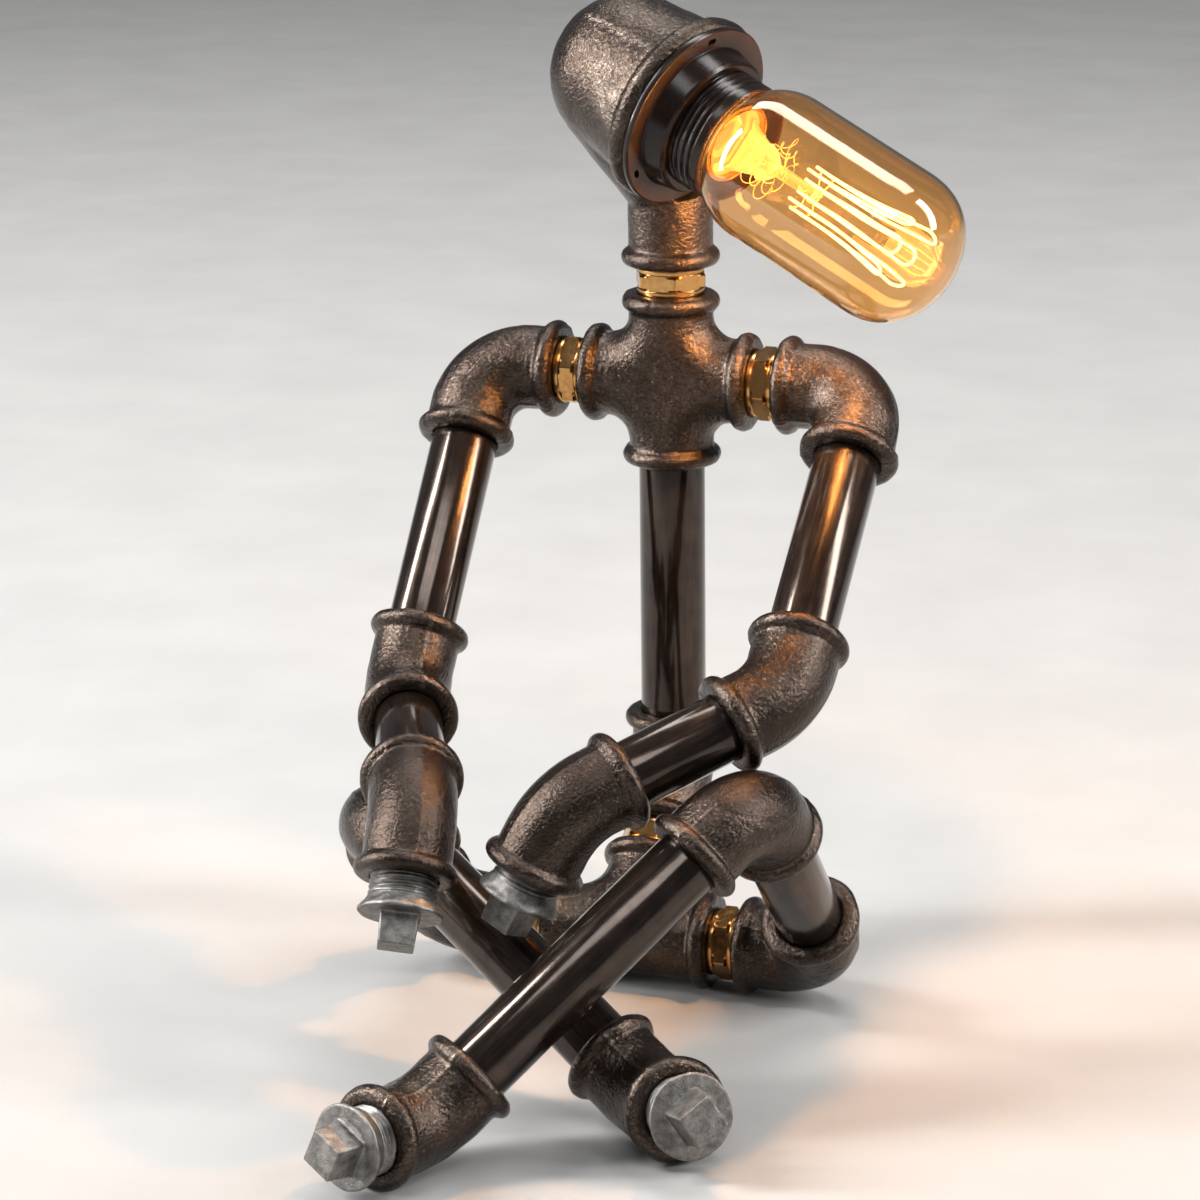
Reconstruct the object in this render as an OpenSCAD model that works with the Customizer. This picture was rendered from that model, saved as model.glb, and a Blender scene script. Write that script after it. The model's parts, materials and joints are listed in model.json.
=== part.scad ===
// Desk lamp in the shape of a small seated robot, made of half inch pipe fittings.
// Left and right are the viewer's, who faces the lamp's front: left is -X and the front is -Y.
// The table is at z = 0, and the origin is under the middle of the lamp's outline.

/* [Place on the table] */
// Middle of the hip tee, sideways from the origin
hip_x = -13.595; // [-40:0.01:40]
// Middle of the hip tee, behind the origin
hip_y = 71.201; // [0:0.01:140]

/* [Cast fittings] */
// Radius of a fitting's plain body
body_r = 13.6; // [12.8:0.1:14]
// Radius of the rolled bead round each mouth
bead_r = 15.9; // [15:0.1:17]
// Width of the bead along the fitting
bead_w = 5.6; // [4:0.1:7]
// Middle to face of a tee, a cross or a right angled elbow
square_leg = 28; // [26:0.5:32]
// Middle to face of a half elbow
half_leg = 22; // [21:0.5:25]
// Bend radius of a right angled elbow, measured to its centre line
square_bend_r = 17; // [14.5:0.5:18]
// Bend radius of a half elbow, measured to its centre line
half_bend_r = 28; // [20:1:32]
// Fillet radius in the corners of the tee and the cross
corner_fillet = 7; // [4:0.5:8]
// Turn of a half elbow
half_angle = 45; // [30:1:60]
// Radius of the passage through a fitting
passage_r = 8; // [6:0.25:8.5]
// Height of the moulding line left between the halves of the casting mould
seam_h = 0.25; // [0.1:0.05:0.5]
// Width of that line
seam_w = 1; // [0.6:0.1:2]

/* [Pipes and threads] */
// Outer radius of the pipe
pipe_r = 10.65; // [10.6:0.05:11]
// Wall of the pipe
pipe_wall = 2.6; // [2:0.1:3]
// Radius of a threaded end over its thread
thread_r = 10.45; // [10:0.05:10.55]
// Length of a threaded end
thread_len = 13; // [10:0.5:14]
// Radial clearance of every threaded or turning end in its socket
fit_clearance = 0.05; // [0.02:0.01:0.1]
// Space left along the axis where a fitting turns on its nipple or pipe
turn_gap = 0.1; // [0.05:0.05:0.3]
// Bare length of the torso pipe
torso_len = 84; // [70:1:110]
// Bare length of an upper arm pipe
upper_arm_len = 65; // [55:1:80]
// Bare length of a forearm pipe
forearm_len = 34; // [26:1:50]
// Bare length of the left thigh pipe
left_thigh_len = 29; // [24:0.5:60]
// Bare length of the right thigh pipe
right_thigh_len = 53.5; // [40:0.5:60]
// Bare length of a shin pipe
shin_len = 88; // [80:1:100]

/* [Brass nipples] */
// Bare length of a hex nipple between two fittings
nipple_gap = 9; // [7:0.5:14]
// Width of the hexagon across its flats
nipple_hex = 21; // [20.8:0.1:24]
// Width of the hexagon along the nipple
nipple_hex_w = 5; // [4:0.2:7]
// Turn of the neck nipple's hexagon
neck_hex_turn = -5; // [-30:1:30]
// Turn of the left shoulder nipple's hexagon
left_shoulder_hex_turn = 8; // [-30:1:30]
// Turn of the right shoulder nipple's hexagon
right_shoulder_hex_turn = -29; // [-30:1:30]
// Radius of the plain collars beside the hexagon
nipple_collar_r = 10.8; // [10.6:0.1:12]
// Radius of the bore through a nipple
nipple_bore_r = 7.5; // [5:0.5:8]

/* [Plugs in the hands and feet] */
// Radius of the plug's collar
plug_collar_r = 12.9; // [12:0.1:14]
// Length of the plug's cone and rim together
plug_collar_len = 5; // [3:0.5:7]
// Width of the square head at the collar
plug_head_w = 11.9; // [10:0.1:14]
// Width of the square head at its tip
plug_tip_w = 11; // [9:0.1:12]
// Length of the square head
plug_head_len = 9.8; // [8:0.1:14]
// Thread that shows on the left hand's plug
left_hand_thread = 6; // [2:0.2:7]
// Thread that shows on the right hand's plug
right_hand_thread = 3.6; // [2:0.2:7]
// Thread that shows on the plugs of the feet
foot_thread = 4.8; // [2:0.2:7]
// Turn of the square head on the left hand
left_hand_head_turn = 8; // [-45:1:45]
// Turn of the square head on the right hand
right_hand_head_turn = -21; // [-45:1:45]

/* [Pose] */
// Left upper arm, forwards from hanging
left_arm_swing = 39; // [38:0.1:80]
// Right upper arm, forwards from hanging
right_arm_swing = 49.4; // [49:0.1:90]
// Turn of the left arm's elbow on its pipe
left_elbow_turn = 56.1; // [56:0.1:120]
// Turn of the right arm's elbow on its pipe
right_elbow_turn = -15.5; // [-90:0.1:-15]
// Turn of the left wrist on the forearm
left_wrist_turn = 187.4; // [180:0.1:200]
// Turn of the right wrist on the forearm
right_wrist_turn = 121; // [110:0.1:130]
// Left thigh, upwards from level
left_thigh_lift = 41.755; // [41:0.005:44]
// Right thigh, upwards from level
right_thigh_lift = 45.975; // [45:0.005:48]
// Turn of the left knee on its thigh
left_knee_turn = -36.1; // [-40:0.1:-32]
// Turn of the right knee on its thigh
right_knee_turn = 57.1; // [53:0.1:61]
// Turn of the left foot on its shin
left_foot_turn = -188.5; // [-195:0.1:-182]
// Turn of the right foot on its shin
right_foot_turn = -181.1; // [-190:0.1:-175]

/* [Head casting] */
// Height of the bulb's axis over the head's lower face, where it passes the neck's axis
head_rise = 60.1; // [58:0.1:64]
// Distance by which the bulb's axis passes in front of the neck's axis
head_ahead = 12.8; // [12:0.1:14]
// Direction of the bulb round the neck, from +X towards the front
bulb_turn = 22.2; // [0:0.1:60]
// Slope of the bulb below level
bulb_droop = 21.6; // [18:0.1:24]
// Radius of the head's barrel at its mouth
barrel_r = 27.6; // [27:0.1:30]
// Radius of the ball at the back of the head
ball_r = 25.6; // [25:0.1:27.5]
// Centre of the ball, behind the neck's axis along the bulb's axis
ball_back = 4.9; // [3:0.1:7]
// Distance from the neck's axis to the barrel's face
head_face = 21.7; // [21:0.1:24]
// Outer radius of the bead round the barrel's mouth
head_bead_r = 30.9; // [30.7:0.1:33]
// Width of that bead
head_bead_w = 8; // [6:0.2:9]
// Wall of the head casting round its hollow
head_wall = 4; // [3:0.25:5]
// Height of the small end of the flare that joins the neck to the ball
flare_start = 25.7; // [22:0.1:30]

/* [Lampholder] */
// Radius of the shade ring
ring_r = 30.2; // [28:0.1:30.6]
// Thickness of the shade ring's flange
ring_t = 2; // [1.5:0.1:3]
// Radius of the shade ring's hub at its flange
ring_hub_r = 24; // [22:0.1:26]
// Length of that hub in front of the flange
ring_hub_len = 7.8; // [4:0.1:9]
// Half width of the small slots in the shade ring
ring_hole_r = 0.9; // [0.6:0.1:1.5]
// Number of small slots in the shade ring
ring_holes = 3; // [2:1:8]
// Radius of the lampholder's threaded shell
shell_r = 19.8; // [19.5:0.1:20.5]
// Inner radius of the shell
shell_in_r = 18; // [17.8:0.1:18.4]
// Distance from the neck's axis to the shell's mouth
shell_mouth = 43.3; // [42:0.1:45]
// Distance from the neck's axis to the shell's rear end
shell_rear = 3.5; // [3:0.1:5]
// Distance between the turns of the shell's thread
shell_pitch = 2.5; // [2:0.1:3]
// Thickness of the lampholder's insulating base
base_t = 9; // [8:0.5:10]

/* [Bulb] */
// Radius of the bulb's glass tube
bulb_r = 24.4; // [20:0.1:25]
// Distance from the neck's axis to the bulb's tip
bulb_tip = 125.9; // [120:0.5:135]
// Length of the rounded end of the glass
bulb_dome = 21.7; // [18:0.1:25]
// Wall of the glass
glass_wall = 0.8; // [0.6:0.1:1.2]
// Outer radius of the bulb's screw cap
cap_r = 13.1; // [13:0.05:13.2]
// Clearance between the screw cap and the screw shell
cap_clearance = 0.05; // [0.02:0.01:0.3]
// Distance between the turns of the screw cap
cap_pitch = 3.63; // [3.5:0.01:3.7]
// Number of filament loops
filament_loops = 6; // [4:1:8]
// Radius of a filament strand
filament_r = 0.3; // [0.2:0.05:0.4]

/* [Cable way] */
// Radius of the cable hole through the grommet
cable_hole_r = 3.3; // [2.5:0.1:4]
// Radius of the grommet's body
grommet_r = 5.5; // [5:0.1:6]
// Radius of the grommet's rim
grommet_rim_r = 7.4; // [6.5:0.1:8]
// Thickness of the grommet's rim
grommet_rim_t = 2; // [1.5:0.1:3]
// Radius of the lead inside the torso
lead_r = 2.7; // [2:0.1:3]
// Radius of the lead inside the head, where its outer sheath is taken off
head_lead_r = 1.9; // [1.5:0.1:1.9]

/* [Hidden] */

$fn = 72;

left = -1;
right = 1;

iron = [0.24, 0.21, 0.19];
steel = [0.16, 0.14, 0.13];
galvanised = [0.62, 0.62, 0.6];
brass = [0.78, 0.58, 0.27];
bakelite = [0.05, 0.045, 0.04];
rubber = [0.08, 0.08, 0.08];
ceramic = [0.86, 0.84, 0.78];
amber = [0.93, 0.6, 0.22, 0.45];
tungsten = [1, 0.82, 0.45];

pipe_pitch = 1.814;
socket_r = thread_r + fit_clearance;
pipe_bore_r = pipe_r - pipe_wall;
face_r = bead_r - bead_w / 2;
overlap = 0.01;
// The hip tee's branch leans back by a half elbow's turn, so that the torso stands upright
waist_lean = half_angle;

// Length over which the head's barrel widens from the ball
barrel_taper = 17;
// Height of the flare's skin over the neck and the ball
flare_lap = 0.3;

// The grommet's seat: its depth in the elbow, and the room round the grommet's rim
seat_depth = 1.4;
seat_distance = half_bend_r + body_r - seat_depth;
rim_room = 0.4;

// Lampholder: the step inside the shell that the base rests on, and the terminals in the base
base_step = 0.8;
base_rim_t = 1.5;
terminal_offset = 9;
terminal_r = 2;
terminal_len = 5;

// Screw shell: its flange in a recess of the base, and its sheet
screw_floor = shell_rear + base_t + 0.5;
flange_r = 14.6;
sheet = 0.4;
screw_depth = 1;

// Bulb cap: its foot, the start of its thread, and the plain collar at the glass
cap_foot = screw_floor + 4;
cap_start = cap_foot + 4.3;
cap_end = shell_mouth - 2;
cap_collar = 2.6;
cap_wall = 0.35;
contact_t = 1;

// Glass: its neck inside the cap's collar, the swell out of the cap, and the tube up to the dome
glass_neck_r = cap_r - cap_wall - fit_clearance;
glass_start = cap_end - cap_collar;
swell_start = shell_mouth - 1.2;
swell_end = shell_mouth + 14.5;
dome_start = bulb_tip - bulb_dome;
swell_power = 0.38;
dome_power = 2.3;

// Inside the bulb: the stem's pinch, the end of its rod with a button, and the filament
stem_pinch = shell_mouth + 12.5;
rod_end = shell_mouth + 30.3;
button_r = 3;
button_t = 2;
loop_start = rod_end + 1;
loop_in_r = 7.5;
loop_out_r = 10;
loop_end = bulb_tip - 9;
loop_fill = 1.1;

// Distance along a leg at which a bend of the given radius and angle starts
function bend_start(bend_r, angle) = bend_r * tan(angle / 2);
function pick(side, l, r) = side < 0 ? l : r;

waist_reach = square_leg + nipple_gap + half_leg;
waist_back = waist_reach * sin(waist_lean);
chest_z = bead_r + waist_reach * cos(waist_lean) + half_leg + torso_len + square_leg;
turning_gap = nipple_gap + turn_gap;

// ---------------------------------------------------------------- places

module on_hips() {
    translate([hip_x, hip_y, bead_r]) children();
}

// +Z runs up along the leaning branch, +X runs sideways
module on_branch(distance) {
    on_hips() rotate([-waist_lean, 0, 0]) translate([0, 0, distance]) children();
}

// Middle of the waist elbow, turned so that it bends from the branch to upright
module on_waist() {
    on_branch(waist_reach) rotate([0, 0, -90]) children();
}

module on_chest(height = 0) {
    translate([hip_x, hip_y + waist_back, chest_z + height]) children();
}

module on_neck() {
    on_chest(square_leg + turning_gap) children();
}

// Start of a limb: +Z runs outwards to the side, and +X along the limb, turned forwards from hanging
module limb_frame(side, swing) {
    rotate([-swing, 0, 0]) rotate([0, 0, side < 0 ? 180 : 0]) rotate([0, 90, 0]) children();
}

module on_shoulder_face(side) {
    on_chest() limb_frame(side, pick(side, left_arm_swing, right_arm_swing))
        translate([0, 0, square_leg]) children();
}

module on_shoulder(side) {
    on_shoulder_face(side) translate([0, 0, turning_gap + square_leg]) children();
}

module on_upper_arm(side) {
    on_shoulder(side) rotate([0, 90, 0]) translate([0, 0, square_leg]) children();
}

module on_elbow(side) {
    on_upper_arm(side) translate([0, 0, upper_arm_len + turn_gap + half_leg])
        rotate([0, 0, pick(side, left_elbow_turn, right_elbow_turn)]) children();
}

module on_forearm(side) {
    on_elbow(side) rotate([0, half_angle, 0]) translate([0, 0, half_leg]) children();
}

module on_wrist(side) {
    on_forearm(side) translate([0, 0, forearm_len + half_leg])
        rotate([0, 0, pick(side, left_wrist_turn, right_wrist_turn)]) children();
}

module on_hand(side) {
    on_wrist(side) rotate([0, half_angle, 0]) translate([0, 0, half_leg]) children();
}

module on_hip_face(side) {
    on_hips() limb_frame(side, 90 + pick(side, left_thigh_lift, right_thigh_lift))
        translate([0, 0, square_leg]) children();
}

module on_hip(side) {
    on_hip_face(side) translate([0, 0, nipple_gap + square_leg]) children();
}

module on_thigh(side) {
    on_hip(side) rotate([0, 90, 0]) translate([0, 0, square_leg]) children();
}

module on_knee(side) {
    on_thigh(side) translate([0, 0, pick(side, left_thigh_len, right_thigh_len) + square_leg])
        rotate([0, 0, pick(side, left_knee_turn, right_knee_turn)]) children();
}

module on_shin(side) {
    on_knee(side) rotate([0, 90, 0]) translate([0, 0, square_leg]) children();
}

module on_foot(side) {
    on_shin(side) translate([0, 0, shin_len + half_leg])
        rotate([0, 0, pick(side, left_foot_turn, right_foot_turn)]) children();
}

module on_toe(side) {
    on_foot(side) rotate([0, half_angle, 0]) translate([0, 0, half_leg]) children();
}

// The bulb's axis: +Z runs out through the lampholder's mouth, and z = 0 is beside the neck's axis
module bulb_frame(distance = 0) {
    rotate([0, 0, -bulb_turn]) translate([0, -head_ahead, head_rise]) rotate([0, 90 + bulb_droop, 0])
        translate([0, 0, distance]) children();
}

module on_bulb_axis(distance = 0) {
    on_neck() bulb_frame(distance) children();
}

// ---------------------------------------------------------------- shapes shared by the fittings

// A round bar bent in the XZ plane, from +Z towards +X, about the crossing of its two legs
module bend(angle, bend_r, r) {
    translate([bend_r, 0, -bend_start(bend_r, angle)]) rotate([90, 0, 180])
        rotate_extrude(angle = angle) translate([bend_r, 0]) circle(r = r);
}

// Rolled bead, its outer face at z = 0 and its body below
module bead(outer_r, width) {
    translate([0, 0, -width / 2]) rotate_extrude() translate([outer_r - width / 2, 0])
        circle(r = width / 2);
    translate([0, 0, -width]) cylinder(r = outer_r - width / 2, h = width);
}

// One leg of a fitting, from a distance out to its beaded face
module leg(from, length) {
    translate([0, 0, from]) cylinder(r = body_r, h = length - from);
    // Core that ties the leg to the bend behind it
    translate([0, 0, from - 2]) cylinder(r = body_r - 1, h = 4);
    translate([0, 0, length]) bead(bead_r, bead_w);
}

// The way through one leg: its plain passage and its threaded socket
module leg_way(from, length) {
    translate([0, 0, from]) cylinder(r = passage_r, h = length - from);
    translate([0, 0, length - thread_len - 1]) cylinder(r = socket_r, h = thread_len + 1 + overlap);
}

// The moulding line: a slightly grown body, kept where the two mould halves meet at y = 0
module mould_line(reach) {
    intersection() {
        children();
        cube([2 * reach, seam_w, 2 * reach], center = true);
    }
}

module elbow_body(angle, length, bend_r, grow = 0) {
    start = bend_start(bend_r, angle);
    bend(angle, bend_r, body_r + grow);
    rotate([180, 0, 0]) translate([0, 0, start]) cylinder(r = body_r + grow, h = length - bead_w - start);
    rotate([0, angle, 0]) translate([0, 0, start]) cylinder(r = body_r + grow, h = length - bead_w - start);
}

// Elbow: it takes its first leg from -Z and sends its second leg towards +X by the angle
module elbow(angle, length, bend_r) {
    start = bend_start(bend_r, angle);
    difference() {
        union() {
            bend(angle, bend_r, body_r);
            rotate([180, 0, 0]) leg(start, length);
            rotate([0, angle, 0]) leg(start, length);
            mould_line(2 * length) elbow_body(angle, length, bend_r, seam_h);
        }
        bend(angle, bend_r, passage_r);
        rotate([180, 0, 0]) leg_way(start, length);
        rotate([0, angle, 0]) leg_way(start, length);
    }
}

module square_elbow() {
    elbow(90, square_leg, square_bend_r);
}

module half_elbow() {
    elbow(half_angle, half_leg, half_bend_r);
}

// Fillet between two legs of a tee or a cross: the inner side of a bend that joins them
module corner(turn) {
    rotate([0, turn, 0]) bend(90, body_r + corner_fillet, body_r);
}

module hex_nipple(turn = 0) {
    collar = (nipple_gap - nipple_hex_w) / 2;
    difference() {
        union() {
            translate([0, 0, -thread_len]) cylinder(r = thread_r, h = nipple_gap + 2 * thread_len);
            cylinder(r = nipple_collar_r, h = nipple_gap);
            translate([0, 0, collar]) rotate([0, 0, turn]) intersection() {
                cylinder(r = nipple_hex / sqrt(3), h = nipple_hex_w, $fn = 6);
                hex_chamfer();
            }
        }
        translate([0, 0, -thread_len - 1]) cylinder(r = nipple_bore_r, h = nipple_gap + 2 * thread_len + 2);
    }
}

// Turned cone at both ends of the hexagon, which takes its corners off
module hex_chamfer() {
    corner_r = nipple_hex / sqrt(3);
    flat_r = nipple_hex / 2;
    rise = (corner_r - flat_r) / 2;
    rotate_extrude() polygon([
        [0, 0], [flat_r, 0], [corner_r, rise], [corner_r, nipple_hex_w - rise],
        [flat_r, nipple_hex_w], [0, nipple_hex_w]
    ]);
}

// Pipe: its bare length runs from z = 0 up, and its threaded ends reach into the fittings
module pipe(length) {
    difference() {
        union() {
            translate([0, 0, -thread_len]) cylinder(r = thread_r, h = length + 2 * thread_len);
            cylinder(r = pipe_r, h = length);
        }
        translate([0, 0, -thread_len - 1]) cylinder(r = pipe_bore_r, h = length + 2 * thread_len + 2);
    }
}

// Square headed plug, its thread below z = 0 and its head above
module plug(thread_out, head_turn = 0) {
    rim = 1;
    cone = plug_collar_len - rim;
    turns = floor(thread_out / pipe_pitch);
    first_groove = 0.4;
    difference() {
        translate([0, 0, -thread_len]) cylinder(r = thread_r, h = thread_len + thread_out);
        for (i = [0 : turns])
            translate([0, 0, i * pipe_pitch + first_groove]) thread_groove();
    }
    translate([0, 0, thread_out]) cylinder(r1 = thread_r, r2 = plug_collar_r, h = cone);
    translate([0, 0, thread_out + cone]) cylinder(r = plug_collar_r, h = rim);
    translate([0, 0, thread_out + plug_collar_len]) rotate([0, 0, head_turn]) square_head();
}

// One turn of the plug's thread groove, drawn as a ring with slanted sides
module thread_groove() {
    depth = 0.8;
    spare = 1;
    half_w = 0.6 + spare;
    outer = thread_r + spare;
    rotate_extrude() polygon([[thread_r - depth, 0], [outer, -half_w], [outer, half_w]]);
}

// The plug's head narrows a little towards its tip and has its end corners taken off
module square_head() {
    half_w = plug_head_w / 2;
    half_tip = plug_tip_w / 2;
    edge = 0.6;
    hull() {
        translate([-half_w, -half_w, -overlap]) cube([2 * half_w, 2 * half_w, overlap]);
        translate([-half_tip, -half_tip, plug_head_len - edge]) cube([2 * half_tip, 2 * half_tip, overlap]);
        translate([edge - half_tip, edge - half_tip, plug_head_len - overlap])
            cube([2 * (half_tip - edge), 2 * (half_tip - edge), overlap]);
    }
}

// ---------------------------------------------------------------- trunk

module hip_tee() {
    corner_start = body_r + corner_fillet;
    color(iron) on_hips() rotate([-waist_lean, 0, 0]) difference() {
        union() {
            for (side = [left, right]) {
                rotate([0, 90 * side, 0]) leg(0, square_leg);
                corner(side < 0 ? 180 : 270);
            }
            leg(0, square_leg);
            mould_line(2 * square_leg) for (turn = [-90, 0, 90])
                rotate([0, turn, 0]) cylinder(r = body_r + seam_h, h = square_leg - bead_w);
        }
        for (turn = [-90, 0, 90])
            rotate([0, turn, 0]) leg_way(0, square_leg);
    }
}

module waist_nipple() {
    color(brass) on_branch(square_leg) hex_nipple();
}

// The cable hole's axis, square to the back of the bend, from the bend's own centre
module on_cable_hole() {
    on_waist() translate([half_bend_r, 0, -bend_start(half_bend_r, half_angle)])
        rotate([0, half_angle / 2 - 90, 0]) children();
}

module waist_elbow() {
    color(iron) difference() {
        on_waist() half_elbow();
        on_cable_hole() {
            translate([0, 0, half_bend_r]) cylinder(r = grommet_r + fit_clearance, h = 2 * body_r);
            translate([0, 0, seat_distance]) cylinder(r = grommet_rim_r + rim_room, h = body_r);
        }
    }
}

module cable_grommet() {
    inner_end = half_bend_r + passage_r;
    edge = 0.6;
    color(rubber) on_cable_hole() difference() {
        union() {
            translate([0, 0, inner_end]) cylinder(r = grommet_r, h = seat_distance - inner_end);
            translate([0, 0, seat_distance]) cylinder(r = grommet_rim_r, h = grommet_rim_t - edge);
            translate([0, 0, seat_distance + grommet_rim_t - edge])
                cylinder(r1 = grommet_rim_r, r2 = grommet_rim_r - 1, h = edge);
        }
        translate([0, 0, half_bend_r]) cylinder(r = cable_hole_r, h = 2 * body_r);
    }
}

module torso_pipe() {
    color(steel) on_chest(-square_leg - torso_len) pipe(torso_len);
}

module chest_cross() {
    color(iron) on_chest() difference() {
        union() {
            for (turn = [0 : 90 : 270]) {
                rotate([0, turn, 0]) leg(0, square_leg);
                corner(turn);
            }
            mould_line(2 * square_leg) for (turn = [0 : 90 : 270])
                rotate([0, turn, 0]) cylinder(r = body_r + seam_h, h = square_leg - bead_w);
        }
        for (turn = [0 : 90 : 270])
            rotate([0, turn, 0]) leg_way(0, square_leg);
    }
}

module neck_nipple() {
    color(brass) on_chest(square_leg) hex_nipple(neck_hex_turn);
}

// Lead from the waist elbow up to the middle of the neck nipple, where the head's lead goes on
module trunk_lead() {
    start = bend_start(half_bend_r, half_angle);
    lead_bottom = -square_leg - torso_len - half_leg + start;
    color(rubber) on_chest(lead_bottom)
        cylinder(r = lead_r, h = square_leg + nipple_gap / 2 - lead_bottom);
}

// ---------------------------------------------------------------- arms and legs

module shoulder_nipple(side) {
    color(brass) on_shoulder_face(side)
        hex_nipple(pick(side, left_shoulder_hex_turn, right_shoulder_hex_turn));
}

module shoulder_elbow(side) {
    color(iron) on_shoulder(side) square_elbow();
}

module upper_arm_pipe(side) {
    color(steel) on_upper_arm(side) pipe(upper_arm_len);
}

module arm_elbow(side) {
    color(iron) on_elbow(side) half_elbow();
}

module forearm_pipe(side) {
    color(steel) on_forearm(side) pipe(forearm_len);
}

module wrist_elbow(side) {
    color(iron) on_wrist(side) half_elbow();
}

module hand_plug(side) {
    color(galvanised) on_hand(side) plug(pick(side, left_hand_thread, right_hand_thread),
        pick(side, left_hand_head_turn, right_hand_head_turn));
}

module hip_nipple(side) {
    color(brass) on_hip_face(side) hex_nipple();
}

module hip_elbow(side) {
    color(iron) on_hip(side) square_elbow();
}

module thigh_pipe(side) {
    color(steel) on_thigh(side) pipe(pick(side, left_thigh_len, right_thigh_len));
}

module knee_elbow(side) {
    color(iron) on_knee(side) square_elbow();
}

module shin_pipe(side) {
    color(steel) on_shin(side) pipe(shin_len);
}

module foot_elbow(side) {
    color(iron) on_foot(side) half_elbow();
}

module foot_plug(side) {
    color(galvanised) on_toe(side) plug(foot_thread);
}

// ---------------------------------------------------------------- head

// Cone that touches a small ball at the start of its axis and a big one at the end
module flare(way, small, big) {
    span = norm(way);
    sink = asin((big - small) / span);
    rotate([0, acos(way[2] / span), atan2(way[1], way[0])])
        translate([0, 0, -small * sin(sink)])
            cylinder(r1 = small * cos(sink), r2 = big * cos(sink),
                     h = span - (big - small) * sin(sink));
}

// Solid outside of the head casting: neck, flare, ball and barrel
module head_outside() {
    ball_centre = [-ball_back * cos(bulb_droop), -head_ahead, head_rise + ball_back * sin(bulb_droop)];
    foot = [0, 0, flare_start];
    cylinder(r = body_r, h = flare_start);
    translate(foot) sphere(r = body_r);
    rotate([0, 0, -bulb_turn]) translate(foot)
        flare(ball_centre - foot, body_r + flare_lap, ball_r + flare_lap);
    bulb_frame(-ball_back) {
        sphere(r = ball_r);
        cylinder(r1 = ball_r, r2 = barrel_r, h = barrel_taper);
        translate([0, 0, barrel_taper])
            cylinder(r = barrel_r, h = ball_back + head_face - head_bead_w / 2 - barrel_taper);
    }
}

// Passage from the neck to the hollow, and the bore for the lampholder
module head_inside() {
    hollow_r = ball_r - head_wall;
    translate([0, 0, -overlap]) cylinder(r = socket_r, h = thread_len + 1 + overlap);
    cylinder(r = passage_r, h = head_rise - passage_r);
    bulb_frame(-ball_back) {
        sphere(r = hollow_r);
        cylinder(r = hollow_r, h = ball_back + shell_rear);
    }
    bulb_frame() cylinder(r = shell_r + fit_clearance, h = head_face + 1);
}

module head_casting() {
    // Room in front of the mouth for the shade ring, which cuts a little into the neck
    ring_room = 25;
    color(iron) on_neck() difference() {
        union() {
            head_outside();
            rotate([180, 0, 0]) bead(bead_r, bead_w);
            bulb_frame(head_face) bead(head_bead_r, head_bead_w);
        }
        head_inside();
        bulb_frame(head_face) cylinder(r = head_bead_r, h = ring_room);
    }
}

// ---------------------------------------------------------------- lampholder

module shade_ring() {
    hole_circle = ring_r - 3.2;
    first_hole = -172;
    slot = 0.8;
    edge = 0.5;
    hub_edge = 1;
    hub_front_r = ring_hub_r - 1.3;
    color(bakelite) on_bulb_axis(head_face) difference() {
        union() {
            cylinder(r = ring_r, h = ring_t - edge);
            translate([0, 0, ring_t - edge]) cylinder(r1 = ring_r, r2 = ring_r - edge, h = edge);
            translate([0, 0, ring_t])
                cylinder(r1 = ring_hub_r, r2 = hub_front_r, h = ring_hub_len - hub_edge);
            translate([0, 0, ring_t + ring_hub_len - hub_edge])
                cylinder(r1 = hub_front_r, r2 = hub_front_r - hub_edge, h = hub_edge);
        }
        translate([0, 0, -1]) cylinder(r = shell_r + fit_clearance, h = ring_t + ring_hub_len + 2);
        for (i = [0 : ring_holes - 1])
            rotate([0, 0, first_hole + i * 360 / ring_holes]) translate([hole_circle, 0, -1]) {
                for (end = [-slot, slot])
                    translate([0, end, 0]) cylinder(r = ring_hole_r, h = ring_t + 2);
                translate([-ring_hole_r, -slot, 0]) cube([2 * ring_hole_r, 2 * slot, ring_t + 2]);
            }
    }
}

// Threaded bakelite shell: a smooth lip at the mouth, and rounded thread turns behind it
module lampholder_shell() {
    lip_w = 3;
    lip_r = shell_r - 0.1;
    lip_edge = 0.8;
    thread_end = shell_mouth - lip_w;
    ring_front = head_face + ring_t + ring_hub_len;
    turns = floor((thread_end - ring_front) / shell_pitch);
    groove_r = shell_pitch * 0.3;
    color(bakelite) on_bulb_axis() difference() {
        union() {
            translate([0, 0, shell_rear]) cylinder(r = shell_r, h = thread_end - shell_rear);
            translate([0, 0, thread_end]) cylinder(r = lip_r, h = lip_w - lip_edge);
            translate([0, 0, shell_mouth - lip_edge])
                cylinder(r1 = lip_r, r2 = lip_r - lip_edge, h = lip_edge);
        }
        for (i = [0 : turns])
            translate([0, 0, thread_end - i * shell_pitch]) rotate_extrude()
                translate([shell_r + groove_r * 0.3, 0]) circle(r = groove_r);
        translate([0, 0, shell_rear + base_t]) cylinder(r = shell_in_r, h = shell_mouth);
        translate([0, 0, shell_rear - 1]) cylinder(r = shell_in_r - base_step, h = base_t + 2);
    }
}

module lampholder_base() {
    base_r = shell_in_r - base_step - fit_clearance;
    color(ceramic) on_bulb_axis(shell_rear) difference() {
        union() {
            cylinder(r = base_r, h = base_t);
            translate([0, 0, base_t]) cylinder(r = shell_in_r - fit_clearance, h = base_rim_t);
        }
        for (side = [left, right])
            translate([side * terminal_offset, 0, -1])
                cylinder(r = terminal_r + fit_clearance, h = terminal_len + 1);
        translate([0, 0, screw_floor - shell_rear]) cylinder(r = flange_r + fit_clearance, h = base_rim_t);
    }
}

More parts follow.
